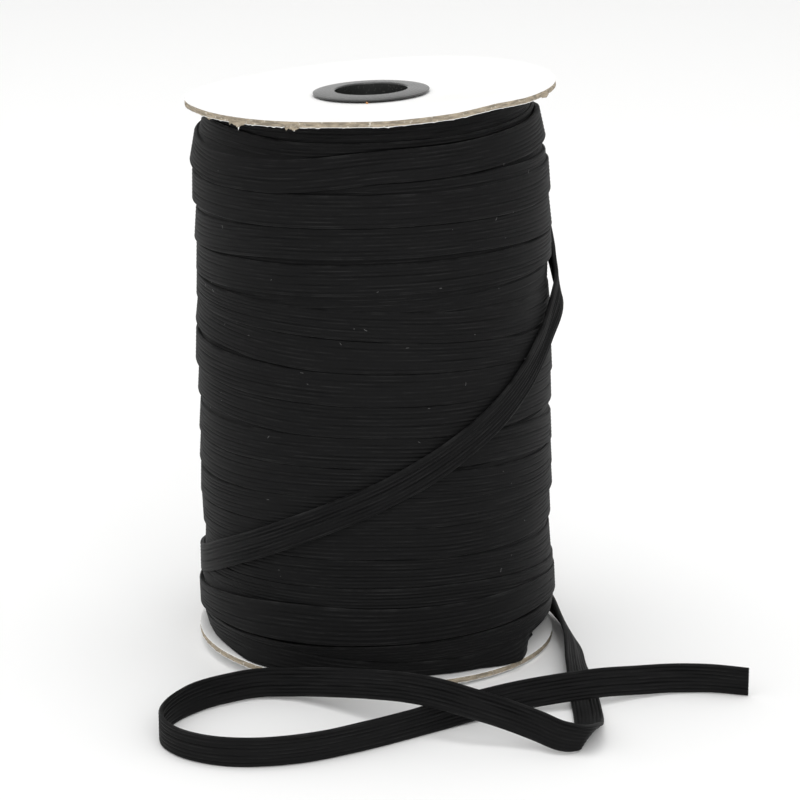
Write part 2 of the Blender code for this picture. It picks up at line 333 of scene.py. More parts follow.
@dataclass(frozen=True)
class Finish:
    """What every finish has: a name, the shader's plain values and the scales of its flecks."""

    name: str
    roughness: float
    specular: float
    fine: float
    broad: float

    def make(self, braid: ShaderNodeTree, flecks: ShaderNodeTree) -> Material:
        """Make the material.

        Args:
            braid: The shared braid group.
            flecks: The shared fleck group.

        Returns:
            The finished material.
        """
        material = bpy.data.materials.new(self.name)
        material.use_nodes = True
        shader = material.node_tree.nodes["Principled BSDF"]
        shader.inputs["Roughness"].default_value = self.roughness
        shader.inputs["Specular IOR Level"].default_value = self.specular
        bench = Bench(Wiring(material.node_tree), shader, braid)
        placed = bench.group(flecks, Fine=self.fine, Broad=self.broad)
        self.wire(bench, placed.outputs["Flecks"], placed.outputs["Drift"])
        return material

    def wire(self, bench: Bench, flecks: NodeSocket, drift: NodeSocket) -> None:
        """Wire the finish's own pattern: each kind of finish does this in its own way.

        Args:
            bench: The open material.
            flecks: Fine flecks, from 0 to 1.
            drift: A broad drift of tone, from 0 to 1.
        """
        raise NotImplementedError


@dataclass(frozen=True)
class ElasticFinish(Finish):
    """Black braided elastic: matt yarn, thin broken bright crests, darker between the ribs.

    The crests' bright lines are a painted highlight and the darkness between the ribs is painted
    shade; the painted shade drifts along the band, and the painted highlights are speckled by the
    fine flecks.
    """

    name: str = "braided_elastic"
    roughness: float = 0.66
    specular: float = 0.10
    fine: float = 1700.0
    broad: float = 55.0
    # rib is the yarn's own tone; the valley colour below is painted shade between the ribs, and
    # the crest colour a painted highlight.
    rib: Colour = (0.0055, 0.0055, 0.0057)
    painted_valley_shade: Colour = (0.0040, 0.0040, 0.0042)
    painted_crest_highlight: Colour = (0.0225, 0.0225, 0.0225)
    sheen: float = 0.034
    sheen_roughness: float = 0.35
    stitch: float = 0.55 * MM
    slant: float = 0.7
    shade_drift: float = -0.35
    shade_lead: float = 0.15
    speckle: Pair = (0.7, 0.55)
    stitch_height: float = 0.35
    bump_strength: float = 0.5
    bump_depth: float = 0.04 * MM

    def wire(self, bench: Bench, flecks: NodeSocket, drift: NodeSocket) -> None:
        """Wire the ribs, the crests and the stitches.

        Args:
            bench: The open material.
            flecks: Fine flecks, from 0 to 1.
            drift: A broad drift of tone, from 0 to 1.
        """
        bench.shader.inputs["Sheen Weight"].default_value = self.sheen
        bench.shader.inputs["Sheen Roughness"].default_value = self.sheen_roughness
        wiring = bench.wiring
        braid = bench.group(bench.braid, Stitch=self.stitch, Slant=self.slant).outputs
        # Painted shade between the ribs, drifting along the band.
        drifting_shade = wiring.math("MULTIPLY_ADD", drift, self.shade_drift, braid["ValleyShade"])
        dark = wiring.math("ADD", drifting_shade, self.shade_lead)
        body = wiring.mix(dark, self.rib, self.painted_valley_shade)
        # Painted highlight on the crests, speckled by the fine flecks.
        speckled = wiring.math("MULTIPLY_ADD", flecks, *self.speckle)
        shine = wiring.math("MULTIPLY", braid["CrestHighlight"], speckled)
        bench.colour(wiring.mix(shine, body, self.painted_crest_highlight))
        height = wiring.math("MULTIPLY_ADD", braid["Stitches"], self.stitch_height, flecks)
        bench.bump(height, self.bump_strength, self.bump_depth)


@dataclass(frozen=True)
class PaperFinish(Finish):
    """The white paper that faces the chipboard."""

    name: str = "white_facing_paper"
    roughness: float = 0.62
    specular: float = 0.30
    fine: float = 1500.0
    broad: float = 45.0
    light: Colour = (0.88, 0.88, 0.872)
    shade: Colour = (0.84, 0.835, 0.82)
    shaded: Pair = (0.45, 0.75)
    bump_strength: float = 0.25
    bump_depth: float = 0.03 * MM

    def wire(self, bench: Bench, flecks: NodeSocket, drift: NodeSocket) -> None:
        """Wire the drift of its tone and its fine tooth.

        Args:
            bench: The open material.
            flecks: Fine flecks, from 0 to 1.
            drift: A broad drift of tone, from 0 to 1.
        """
        shaded = bench.wiring.spread(drift, self.shaded)
        bench.colour(bench.wiring.mix(shaded, self.light, self.shade))
        bench.bump(flecks, self.bump_strength, self.bump_depth)


@dataclass(frozen=True)
class ChipboardFinish(Finish):
    """The cut edge of the chipboard: grey and tan fibre in thin layers."""

    name: str = "chipboard_core"
    roughness: float = 0.95
    specular: float = 0.15
    fine: float = 1500.0
    broad: float = 180.0
    grey: Colour = (0.23, 0.20, 0.155)
    tan: Colour = (0.45, 0.38, 0.285)
    pale: Colour = (0.68, 0.64, 0.56)
    layer_scale: float = 420.0
    layer_detail: float = 3.0
    layer_roughness: float = 0.6
    layer_squash: float = 5.0
    tan_layers: Pair = (0.38, 0.62)
    pale_fibres: Pair = (0.60, 0.74)
    bump_strength: float = 0.9
    bump_depth: float = 0.12 * MM

    def wire(self, bench: Bench, flecks: NodeSocket, drift: NodeSocket) -> None:
        """Wire the layers and the pale fibres.

        Args:
            bench: The open material.
            flecks: Fine flecks, from 0 to 1.
            drift: A broad drift of tone, from 0 to 1, which it has no use for.
        """
        wiring = bench.wiring
        squash = wiring.add("ShaderNodeMapping")
        squash.inputs["Scale"].default_value = (1.0, 1.0, self.layer_squash)
        wiring.feed(wiring.add("ShaderNodeTexCoord").outputs["Object"], squash.inputs["Vector"])
        layers = wiring.noise(squash.outputs["Vector"], self.layer_scale, self.layer_detail,
                              self.layer_roughness)
        board = wiring.mix(wiring.spread(layers, self.tan_layers), self.grey, self.tan)
        bench.colour(wiring.mix(wiring.spread(flecks, self.pale_fibres), board, self.pale))
        bench.bump(wiring.math("ADD", flecks, layers), self.bump_strength, self.bump_depth)


@dataclass(frozen=True)
class PlasticFinish(Finish):
    """Black moulded plastic with a satin skin and a little dust."""

    name: str = "black_moulded_plastic"
    roughness: float = 0.24
    specular: float = 0.75
    fine: float = 2200.0
    broad: float = 120.0
    body: Colour = (0.022, 0.023, 0.022)
    dusty: Colour = (0.075, 0.074, 0.070)
    dusted: Pair = (0.60, 0.74)
    uneven: float = 0.12

    def wire(self, bench: Bench, flecks: NodeSocket, drift: NodeSocket) -> None:
        """Wire the dust and the uneven gloss.

        Args:
            bench: The open material.
            flecks: Fine flecks, from 0 to 1.
            drift: A broad drift of tone, from 0 to 1.
        """
        wiring = bench.wiring
        bench.colour(wiring.mix(wiring.spread(flecks, self.dusted), self.body, self.dusty))
        rough = wiring.math("MULTIPLY_ADD", drift, self.uneven, self.roughness - self.uneven / 2)
        wiring.feed(rough, bench.shader.inputs["Roughness"])


@dataclass(frozen=True)
class FibreFinish(Finish):
    """A loose fibre or crumb in one soft tone."""

    name: str = "pale_lint"
    roughness: float = 0.9
    specular: float = 0.2
    fine: float = 2500.0
    broad: float = 900.0
    light: Colour = (0.20, 0.20, 0.20)
    shade: Colour = (0.10, 0.10, 0.10)

    def wire(self, bench: Bench, flecks: NodeSocket, drift: NodeSocket) -> None:
        """Wire the flecks of its tone."""
        bench.colour(bench.wiring.mix(flecks, self.light, self.shade))


@dataclass(frozen=True)
class Finishes:
    """Every material of the reel."""

    elastic: Material
    paper: Material
    chipboard: Material
    plastic: Material
    lint: Material
    crumb: Material

    @classmethod
    def make(cls) -> "Finishes":
        """Make the shared groups and then each material.

        Returns:
            The materials.
        """
        crumb = FibreFinish("tan_crumb", light=(0.60, 0.30, 0.13), shade=(0.45, 0.22, 0.10))
        finishes = (ElasticFinish(), PaperFinish(), ChipboardFinish(), PlasticFinish(),
                    FibreFinish(), crumb)
        groups = Braid().make(BandSection.ribs), fleck_group()
        return cls(*(finish.make(*groups) for finish in finishes))


# ---------------------------------------------------------------------------------------------
# Mesh helpers


def finish_piece(name: str, shape: BMesh, materials: list[Material]) -> Object:
    """Turn a bmesh into a smooth-shaded piece that rides on the reel.

    Args:
        name: The piece's name.
        shape: The finished bmesh, which is freed.
        materials: The materials, in the order of the faces' indices.

    Returns:
        The new object.
    """
    mesh = bpy.data.meshes.new(name)
    shape.to_mesh(mesh)
    shape.free()
    for material in materials:
        mesh.materials.append(material)
    mesh.shade_smooth()
    mesh.set_sharp_from_angle(angle=math.radians(40.0))
    piece = bpy.data.objects.new(name, mesh)
    bpy.context.scene.collection.objects.link(piece)
    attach(piece, BODY)
    LOG.info("%s: %d faces", name, len(mesh.polygons))
    return piece


def face_outward(shape: BMesh) -> None:
    """Point every face of a closed shape away from its inside.

    Args:
        shape: The closed shape.
    """
    bmesh.ops.recalc_face_normals(shape, faces=shape.faces)
    if shape.calc_volume(signed=True) < 0:
        bmesh.ops.reverse_faces(shape, faces=shape.faces)


def wrap(radius: np.ndarray, angle: np.ndarray, height: np.ndarray) -> np.ndarray:
    """Points in metres from their radii, angles in radians and heights."""
    return np.stack([radius * np.cos(angle), radius * np.sin(angle), height], axis=2)


def ribbon(rings: np.ndarray, across: np.ndarray, along: np.ndarray) -> BMesh:
    """Wrap a grid round a run of closed sections and close both of its ends.

    Args:
        rings: Points of each section, as (sections, points, 3), in metres.
        across: Each point's place across the band, from 0 to 1, for the UV map.
        along: Each section's distance along the band in metres, for the UV map.

    Returns:
        A closed bmesh with the band's UV map.
    """
    sections, points = rings.shape[:2]
    shape = bmesh.new()
    layer = shape.loops.layers.uv.new(BAND_UV)
    bmesh.ops.create_grid(shape, x_segments=points, y_segments=sections - 1, size=0.5)
    places = {vert: (round((vert.co.y + 0.5) * (sections - 1)),
                     round((vert.co.x + 0.5) * points) % points) for vert in shape.verts}
    for face in shape.faces:
        for loop in face.loops:
            section, point = places[loop.vert]
            loop[layer].uv = (across[point], along[section])
    for vert, (section, point) in places.items():
        vert.co = rings[section, point]
    seam = [vert for vert in shape.verts if vert.is_boundary]
    bmesh.ops.remove_doubles(shape, verts=seam, dist=0.001 * MM)
    rims = [edge for edge in shape.edges if edge.is_boundary]
    bmesh.ops.holes_fill(shape, edges=rims, sides=0)
    face_outward(shape)
    return shape


def spin(profile: list[Pair], segments: int) -> BMesh:
    """Spin a closed profile once round Z.

    Args:
        profile: The (radius, height) points, in order round the profile.
        segments: Steps in the full turn.

    Returns:
        A closed bmesh.
    """
    shape = bmesh.new()
    points = [shape.verts.new((radius, 0.0, height)) for radius, height in profile]
    edges = [shape.edges.new(pair) for pair in zip(points, points[1:] + points[:1])]
    bmesh.ops.spin(shape, geom=points + edges, cent=(0, 0, 0), axis=(0, 0, 1), dvec=(0, 0, 0),
                   angle=math.tau, steps=segments, use_merge=True)
    face_outward(shape)
    return shape


def arc(centre: Pair, radii: Pair, start: float, end: float, steps: int) -> list[Pair]:
    """Points on an arc in the (radius, height) plane.

    Args:
        centre: The arc's centre.
        radii: Its half width and half height.
        start: The first angle in degrees.
        end: The last angle in degrees.
        steps: How many steps it takes.

    Returns:
        The points, both ends included.
    """
    angles = np.radians(np.linspace(start, end, steps + 1))
    return [(centre[0] + radii[0] * math.cos(angle), centre[1] + radii[1] * math.sin(angle))
            for angle in angles]


# ---------------------------------------------------------------------------------------------
# Camera, light and floor


@dataclass(frozen=True)
class Softbox:
    """A square soft light that faces the reel: where it hangs, its side and its power in watts."""

    name: str
    place: tuple[float, float, float]
    width: float
    power: float
    aim_height: float = 0.05

    def hang(self) -> None:
        """Hang the light."""
        data = bpy.data.lights.new(self.name, "AREA")
        data.shape = "SQUARE"
        data.size = self.width
        data.energy = self.power
        light = bpy.data.objects.new(self.name, data)
        aim = Vector((0.0, 0.0, self.aim_height)) - Vector(self.place)
        light.matrix_world = (Matrix.Translation(self.place)
                              @ aim.to_track_quat("-Z", "Y").to_matrix().to_4x4())
        bpy.context.scene.collection.objects.link(light)


@dataclass(frozen=True)
class Studio:
    """A plain pale floor that curves up behind, soft light and the photograph's camera."""

    eye: tuple[float, float, float] = (0.0, -0.645468, 0.235599)
    look_at: tuple[float, float, float] = (0.005832, 0.0, 0.055308)
    roll: float = math.radians(-0.44)
    lens: float = 133.515
    sensor: float = 36.0
    floor_half_width: float = 3.0
    floor_front: float = -1.6
    floor_bend: float = 1.4
    floor_sweep: float = 0.9
    floor_top: float = 2.2
    floor_colour: Colour = (0.935, 0.935, 0.935 * 0.995)
    floor_roughness: float = 0.8
    floor_specular: float = 0.1
    sky_strength: float = 0.86
    softboxes: tuple[Softbox, ...] = (
        Softbox("overhead_softbox", (-0.10, 0.20, 1.3), 0.9, 4.5),
        Softbox("side_softbox", (-1.0, 0.20, 0.55), 0.6, 0.25),
        Softbox("front_softbox", (0.25, -1.25, 0.75), 0.9, 4.5),
    )

    def place_camera(self) -> None:
        """Set the camera where the photograph was taken from."""
        data = bpy.data.cameras.new("camera")
        data.lens = self.lens
        data.sensor_width = self.sensor
        data.clip_start = 0.02
        data.clip_end = 20.0
        camera = bpy.data.objects.new("camera", data)
        heading = Vector(self.look_at) - Vector(self.eye)
        turn = heading.to_track_quat("-Z", "Y").to_matrix().to_4x4()
        camera.matrix_world = (Matrix.Translation(self.eye) @ turn
                               @ Matrix.Rotation(self.roll, 4, "Z"))
        bpy.context.scene.collection.objects.link(camera)
        bpy.context.scene.camera = camera

    def lay_floor(self) -> None:
        """Lay the floor, with a wide sweep up behind the reel."""
        shape = bmesh.new()
        bend, sweep = self.floor_bend, self.floor_sweep
        line = [(self.floor_front, 0.0)]
        line += [(bend + sweep * math.sin(angle), sweep * (1.0 - math.cos(angle)))
                 for angle in np.radians(np.linspace(0, 90, 19))]
        line.append((bend + sweep, self.floor_top))
        points = [shape.verts.new((-self.floor_half_width, y, z)) for y, z in line]
        edges = [shape.edges.new(pair) for pair in zip(points, points[1:])]
        grown = bmesh.ops.extrude_edge_only(shape, edges=edges)["geom"]
        moved = [item for item in grown if isinstance(item, BMVert)]
        bmesh.ops.translate(shape, verts=moved, vec=(2 * self.floor_half_width, 0.0, 0.0))
        bmesh.ops.recalc_face_normals(shape, faces=shape.faces)
        mesh = bpy.data.meshes.new("floor")
        shape.to_mesh(mesh)
        shape.free()
        mesh.shade_smooth()
        material = bpy.data.materials.new("pale_floor")
        material.use_nodes = True
        shader = material.node_tree.nodes["Principled BSDF"]
        shader.inputs["Base Color"].default_value = (*self.floor_colour, 1.0)
        shader.inputs["Roughness"].default_value = self.floor_roughness
        shader.inputs["Specular IOR Level"].default_value = self.floor_specular
        mesh.materials.append(material)
        floor = bpy.data.objects.new("floor", mesh)
        bpy.context.scene.collection.objects.link(floor)

    def light(self) -> None:
        """Light the reel from a white sky and from the soft boxes above, beside and in front."""
        world = bpy.data.worlds.new("sky")
        world.use_nodes = True
        sky = world.node_tree.nodes["Background"]
        sky.inputs["Color"].default_value = (1.0, 1.0, 1.0, 1.0)
        sky.inputs["Strength"].default_value = self.sky_strength
        bpy.context.scene.world = world
        for softbox in self.softboxes:
            softbox.hang()
        bpy.context.scene.view_settings.view_transform = "Standard"

    def build(self) -> None:
        """Set up everything that isn't the reel."""
        self.place_camera()
        self.lay_floor()
        self.light()


# ---------------------------------------------------------------------------------------------
# The elastic

# The winding is this much slimmer in front and behind than at its two sides.
FLATTENING = 0.15 * MM


@dataclass(frozen=True)
class BandSection:
    """The cross-section of the flat braid: rounded ribs on each face, and a brim at both edges.

    Each rib's height is a share of rib_depth. The grooves between the ribs deepen and fade along
    the band by a share within the span irregularity, drawn anew after each wear_step.
    """

    width: float = 6.35 * MM
    thickness: float = 1.0 * MM
    ribs: int = 8
    rib_depth: float = 0.17 * MM
    rib_heights: tuple[float, ...] = (0.8, 0.4, 1.3, 0.5, 0.75, 1.2, 0.45, 1.0)
    rib_curve: float = 1.5
    brim: float = 0.30 * MM
    brim_fall: float = 0.20 * MM
    plain_back: Pair = (0.97, 0.03)
    irregularity: Pair = (0.25, 1.75)
    wear_step: float = 7.0 * MM

    def face(self, steps: int) -> np.ndarray:
        """One ribbed face, from one edge of the band to the other.

        Args:
            steps: Steps across each rib.

        Returns:
            Rows of (place across from 0 to 1, height over the middle plane in metres).
        """
        share = np.linspace(0.0, 1.0, self.ribs * steps + 1)
        rib = np.minimum((share * self.ribs).astype(int), self.ribs - 1)
        within = 2.0 * (share * self.ribs - rib) - 1.0
        dip = np.abs(within) ** self.rib_curve
        heights = np.array(self.rib_heights)
        low = 0.5 * (heights + np.roll(heights, 1))
        high = 0.5 * (heights + np.roll(heights, -1))
        depth = np.where(within < 0, low[rib], high[rib]) * self.rib_depth
        height = self.thickness / 2 - depth * dip
        from_edge = np.clip(np.minimum(share, 1.0 - share) * self.width / self.brim, 0.0, 1.0)
        fall = 1.0 - np.sqrt(1.0 - (1.0 - from_edge) ** 2)
        return np.stack([share, height - self.brim_fall * fall], axis=1)

    def worn(self, outline: np.ndarray, along: np.ndarray, seed: int) -> np.ndarray:
        """Let each groove between the ribs deepen and fade along the band.

        Args:
            outline: The section's outline.
            along: Each section's distance along the band in metres.
            seed: The seed of the variation.

        Returns:
            Heights over the middle plane, one row for each section.
        """
        generator = np.random.default_rng(seed)
        knots = (along - along.min()) / self.wear_step
        lanes = outline[:, 0] * self.ribs
        table = generator.uniform(*self.irregularity, (int(knots.max()) + 3, self.ribs + 2))
        row, lane = knots.astype(int)[:, None], lanes.astype(int)[None, :]
        up, over = knots[:, None] - row, lanes[None, :] - lane
        vary = ((table[row, lane] * (1 - over) + table[row, lane + 1] * over) * (1 - up)
                + (table[row + 1, lane] * (1 - over) + table[row + 1, lane + 1] * over) * up)
        half = self.thickness / 2
        side = np.sign(outline[:, 1])
        return side * (half - (half - np.abs(outline[:, 1])) * vary)

    def outline(self, steps: int, ribbed_back: bool) -> np.ndarray:
        """The whole closed section.

        Args:
            steps: Steps across each rib.
            ribbed_back: Whether the second face has ribs too.

        Returns:
            Rows of (place across from 0 to 1, height over the middle plane in metres).
        """
        front = self.face(steps)
        if ribbed_back:
            back = front[::-1] * (1.0, -1.0)
        else:
            back = np.array([(share, -self.thickness / 2) for share in self.plain_back])
        return np.concatenate([front, back])


@dataclass(frozen=True)
class Around:
    """A place of the band on the reel: angle and twist in degrees, height and radius in mm."""

    angle: float
    height: float
    radius: float
    twist: float

    def station(self) -> Vector:
        """The place in metres, with the twist in radians as the fourth value."""
        angle = math.radians(self.angle)
        return Vector((self.radius * MM * math.cos(angle), self.radius * MM * math.sin(angle),
                       self.height * MM, math.radians(self.twist)))


@dataclass(frozen=True)
class Along:
    """A place of the band beyond the reel: x, y and z in mm, and twist in degrees."""

    x: float
    y: float
    z: float
    twist: float

    def station(self) -> Vector:
        """The place in metres, with the twist in radians as the fourth value."""
        return Vector((self.x * MM, self.y * MM, self.z * MM, math.radians(self.twist)))


# Where the loose turn lies round the reel: from the back, where it comes from under its row,
# over the right, the front and the left, and once more round the back to the lower right.
ROUND_THE_REEL = (
    Around(98, 106.4, 40.25, 0), Around(87, 106.3, 40.25, 0), Around(72, 105.6, 40.25, 0),
    Around(54, 103.8, 40.28, 0), Around(36, 100.3, 40.4, 0), Around(19, 94.8, 40.4, 0),
    Around(5, 88.4, 40.2, 0), Around(-1, 85.5, 40.5, 5), Around(-8, 81.9, 41.45, 13),
    Around(-20, 75.0, 40.85, 4), Around(-34, 67.5, 40.65, 1), Around(-50, 59.9, 40.6, 0),
    Around(-66, 53.4, 40.6, 0), Around(-84, 46.6, 40.5, 0), Around(-104, 40.1, 40.5, 0),
    Around(-124, 33.6, 40.5, 0), Around(-144, 27.5, 39.98, 0), Around(-164, 22.0, 39.46, 0),
    Around(-178, 19.0, 39.48, 0), Around(-190, 17.6, 40.35, 0), Around(-212, 16.3, 41.22, 0),
    Around(-240, 15.0, 41.25, 0), Around(-270, 13.6, 41.35, 0), Around(-298, 11.2, 41.45, 0),
    Around(-320, 7.8, 41.6, 0), Around(-338, 4.7, 41.35, 7),
)

# Where the free end lies: down to the floor, flat, over the fold, round the loop, to its cut end.
FREE_END = (
    Along(41.4, 6.0, 3.45, 16), Along(43.05, -6.0, 3.2, 27), Along(44.2, -15.9, 2.9, 38),
    Along(44.2, -26.5, 2.6, 48), Along(44.6, -38.0, 1.65, 71), Along(44.8, -46.0, 0.82, 86),
    Along(44.9, -55.0, 0.75, 93), Along(44.6, -63.0, 1.6, 108), Along(44.1, -70.0, 2.7, 132),
    Along(42.6, -74.3, 3.3, 160), Along(39.0, -74.9, 3.7, 190), Along(33.1, -71.8, 5.0, 202),
    Along(27.1, -69.5, 6.6, 202), Along(20.1, -67.8, 8.4, 200), Along(13.3, -65.1, 9.6, 200),
    Along(7.1, -61.2, 9.5, 200), Along(-0.4, -55.0, 8.0, 200), Along(-9.0, -48.1, 5.9, 200),
    Along(-18.5, -42.2, 3.9, 200), Along(-26.0, -41.2, 3.35, 202), Along(-32.3, -44.0, 3.3, 202),
    Along(-38.5, -48.7, 3.3, 194), Along(-43.3, -55.6, 3.3, 184), Along(-45.3, -62.4, 3.25, 180),
    Along(-44.6, -68.6, 3.25, 180), Along(-41.0, -74.3, 3.25, 180),
    Along(-35.0, -78.4, 3.25, 180), Along(-26.5, -80.2, 3.25, 180),
    Along(-17.0, -79.0, 3.25, 180), Along(-5.5, -73.8, 3.25, 180), Along(6.0, -66.4, 3.25, 177),
    Along(20.1, -56.6, 3.4, 168), Along(31.5, -51.4, 4.0, 160), Along(41.5, -49.2, 4.8, 160),
    Along(49.0, -46.3, 4.6, 160), Along(56.0, -43.2, 3.8, 160), Along(64.1, -40.8, 3.3, 162),
    Along(72.6, -41.2, 3.3, 174), Along(80.5, -43.4, 3.25, 180),
)


@dataclass
class LooseBand:
    """The loose outer turn and the free end, as one ribbed band.

    A step is no longer than step and turns no more than step_angle. The band's first stretch, of
    tuck_length, sinks into the winding by up to tuck, so that its start isn't seen.
    """

    section: BandSection
    step: float = 1.7 * MM
    step_angle: float = math.radians(5.0)
    rib_steps: int = 4
    seed: int = 11
    tuck: float = 1.7 * MM
    tuck_length: float = 18 * MM

    def route(self) -> list[Vector]:
        """Read a smooth curve through the stations, closer together where the band turns.

        Returns:
            Points of the band's middle line, with its twist in radians as the fourth value.
        """
        values = [place.station() for place in ROUND_THE_REEL + FREE_END]
        spans = [(b - a).xyz.length for a, b in zip(values, values[1:])]
        slopes = [(b - a) / span for a, b, span in zip(values, values[1:], spans)]
        tangents = [slopes[0]]
        for before, after, left, right in zip(slopes, slopes[1:], spans, spans[1:]):
            tangents.append((before * right + after * left) / (left + right))
        tangents.append(slopes[-1])
        route = [values[0]]
        for index, span in enumerate(spans):
            start, end = values[index], values[index + 1]
            pull, push = tangents[index] * span, tangents[index + 1] * span
            turn = tangents[index].xyz.angle(tangents[index + 1].xyz) + abs(end.w - start.w)
            steps = max(2, math.ceil(span / self.step), math.ceil(turn / self.step_angle))
            for u in np.arange(1, steps + 1) / steps:
                route.append(start * float(2 * u ** 3 - 3 * u ** 2 + 1)
                             + pull * float(u ** 3 - 2 * u ** 2 + u)
                             + end * float(3 * u ** 2 - 2 * u ** 3)
                             + push * float(u ** 3 - u ** 2))
        return route

    def section_axes(self, route: list[Vector], index: int) -> tuple[Vector, Vector]:
        """How the band's section lies at one point of the route.

        Args:
            route: The band's middle line.
            index: The point's number.

        Returns:
            The directions across the band and out of its face.
        """
        before = route[max(index - 1, 0)].xyz
        after = route[min(index + 1, len(route) - 1)].xyz
        heading = (after - before).normalized()
        upright = Vector((0, 0, 1))
        upright = (upright - heading * upright.dot(heading)).normalized()
        sideways = heading.cross(upright)
        twist = route[index].w
        across = upright * math.cos(twist) + sideways * math.sin(twist)
        return across, heading.cross(across)

    def build(self, elastic: Material) -> None:
        """Args:
            elastic: The band's material.
        """
        route = self.route()
        outline = self.section.outline(self.rib_steps, ribbed_back=True)
        lengths = np.cumsum([0.0] + [(b - a).xyz.length for a, b in zip(route, route[1:])])
        heights = self.section.worn(outline, lengths, self.seed)
        rings = np.zeros((len(route), len(outline), 3))
        for index, point in enumerate(route):
            across, outward = (np.array(axis) for axis in self.section_axes(route, index))
            offsets = (0.5 - outline[:, :1]) * self.section.width * across
            rings[index] = np.array(point.xyz) + offsets + heights[index][:, None] * outward
            tucked = max(0.0, 1.0 - lengths[index] / self.tuck_length) ** 2 * self.tuck
            rings[index, :, :2] *= 1.0 - tucked / point.xy.length
        shape = ribbon(rings, outline[:, 0], lengths)
        band = finish_piece("loose_band", shape, [elastic])
        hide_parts("tail")
        LOG.info("loose band: %.3f m long", lengths[-1])


@dataclass(frozen=True)
class Turn:
    """One visible turn, in millimetres.

    Its upper edge's height is given every 30 degrees, from the left (-180) over the front to the
    right (0), and the radii of its upper and lower edge at these two sides. It laps over the turn
    above it, or else it is tucked under that turn.
    """

    edge: tuple[float, float, float, float, float, float, float]
    left: Pair
    right: Pair
    over: bool = False


# The wound turns from the top down, as the grooves run in the photograph.
TURNS = (
    Turn((123.0, 123.4, 123.8, 124.1, 124.7, 125.4, 125.8), (35.6, 36.6), (34.6, 35.6)),
    Turn((122.0, 122.0, 120.7, 121.1, 121.4, 122.3, 123.5), (36.9, 38.5), (35.7, 36.9), True),
    Turn((118.0, 116.4, 116.9, 119.6, 120.3, 121.6, 122.8), (39.0, 40.3), (36.9, 38.3), True),
    Turn((109.3, 109.6, 109.9, 110.3, 110.6, 111.0, 111.4), (39.6, 39.8), (39.0, 39.6), True),
    Turn((100.9, 101.9, 102.9, 103.5, 103.6, 103.6, 103.4), (39.1, 39.6), (39.1, 39.8)),
    Turn((93.8, 94.4, 95.0, 95.8, 95.9, 96.0, 95.8), (39.1, 39.4), (39.6, 39.8)),
    Turn((86.9, 86.5, 86.0, 85.5, 84.3, 83.7, 83.4), (39.2, 39.5), (39.2, 39.7)),
    Turn((82.0, 81.1, 79.9, 78.9, 77.6, 76.0, 74.6), (39.0, 39.7), (39.7, 39.9)),
    Turn((73.6, 73.0, 72.5, 71.9, 71.3, 70.6, 70.0), (39.6, 40.0), (39.8, 40.1)),
    Turn((66.1, 65.6, 65.2, 64.8, 64.4, 64.0, 63.0), (39.3, 39.6), (39.8, 40.1)),
    Turn((57.0, 57.4, 57.8, 58.1, 56.9, 56.0, 53.4), (39.1, 39.5), (39.8, 40.15)),
    Turn((50.0, 50.4, 50.9, 51.0, 48.9, 47.8, 47.2), (39.2, 39.6), (40.0, 40.2)),
    Turn((41.6, 42.7, 44.0, 44.6, 44.1, 43.4, 42.7), (39.4, 39.65), (39.9, 40.2)),
    Turn((35.4, 36.4, 37.4, 37.9, 36.9, 36.5, 36.3), (39.3, 39.1), (39.6, 40.0)),
    Turn((28.6, 29.4, 30.1, 30.6, 29.6, 28.3, 27.5), (38.7, 38.9), (39.6, 40.05)),
    Turn((21.5, 22.8, 23.6, 23.9, 23.7, 21.8, 19.8), (38.8, 39.4), (40.5, 40.75)),
    Turn((14.2, 17.2, 19.5, 19.5, 19.4, 19.4, 17.0), (40.4, 40.3), (40.95, 41.2), True),
    Turn((9.6, 9.8, 9.8, 10.8, 11.4, 11.3, 11.3), (40.0, 36.3), (40.8, 40.2)),
    Turn((7.0, 8.8, 8.6, 7.0, 6.0, 7.6, 6.4), (39.2, 36.6), (39.6, 39.6), True),
)


@dataclass(frozen=True)
class Strip:
    """A short stretch of a turn that shows between two others.

    Its two ends are in degrees, the heights of its upper edge at even steps from the first end to
    the last and its radius in millimetres.
    """

    first: float
    last: float
    edge: tuple[float, ...]
    radius: float


# The two gaps between turns that show part of one more turn.
STRIPS = (
    Strip(-165.0, 35.0, (108.5, 110.9, 112.9, 113.6, 113.3, 112.8), 38.55),
    Strip(-185.0, 30.0, (84.9, 86.6, 88.4, 89.2, 88.8, 88.1), 38.75),
)

# How far the lowest turn bulges over the bottom disc, in millimetres, by the angle in degrees.
BULGE = ((-360, -0.3), (-345, 0.0), (-330, 0.0), (-200, 0.0), (-180, 0.5), (-165, 0.6),
         (-150, 1.3), (-141, 2.2), (-134, 3.1), (-125, 3.0), (-110, 1.5), (-90, 0.0), (-71, -1.0),
         (-54, -0.4), (-46, 1.4), (-40, 2.5), (-36, 1.4), (-28, -0.9), (-15, -0.5), (0, -0.3))


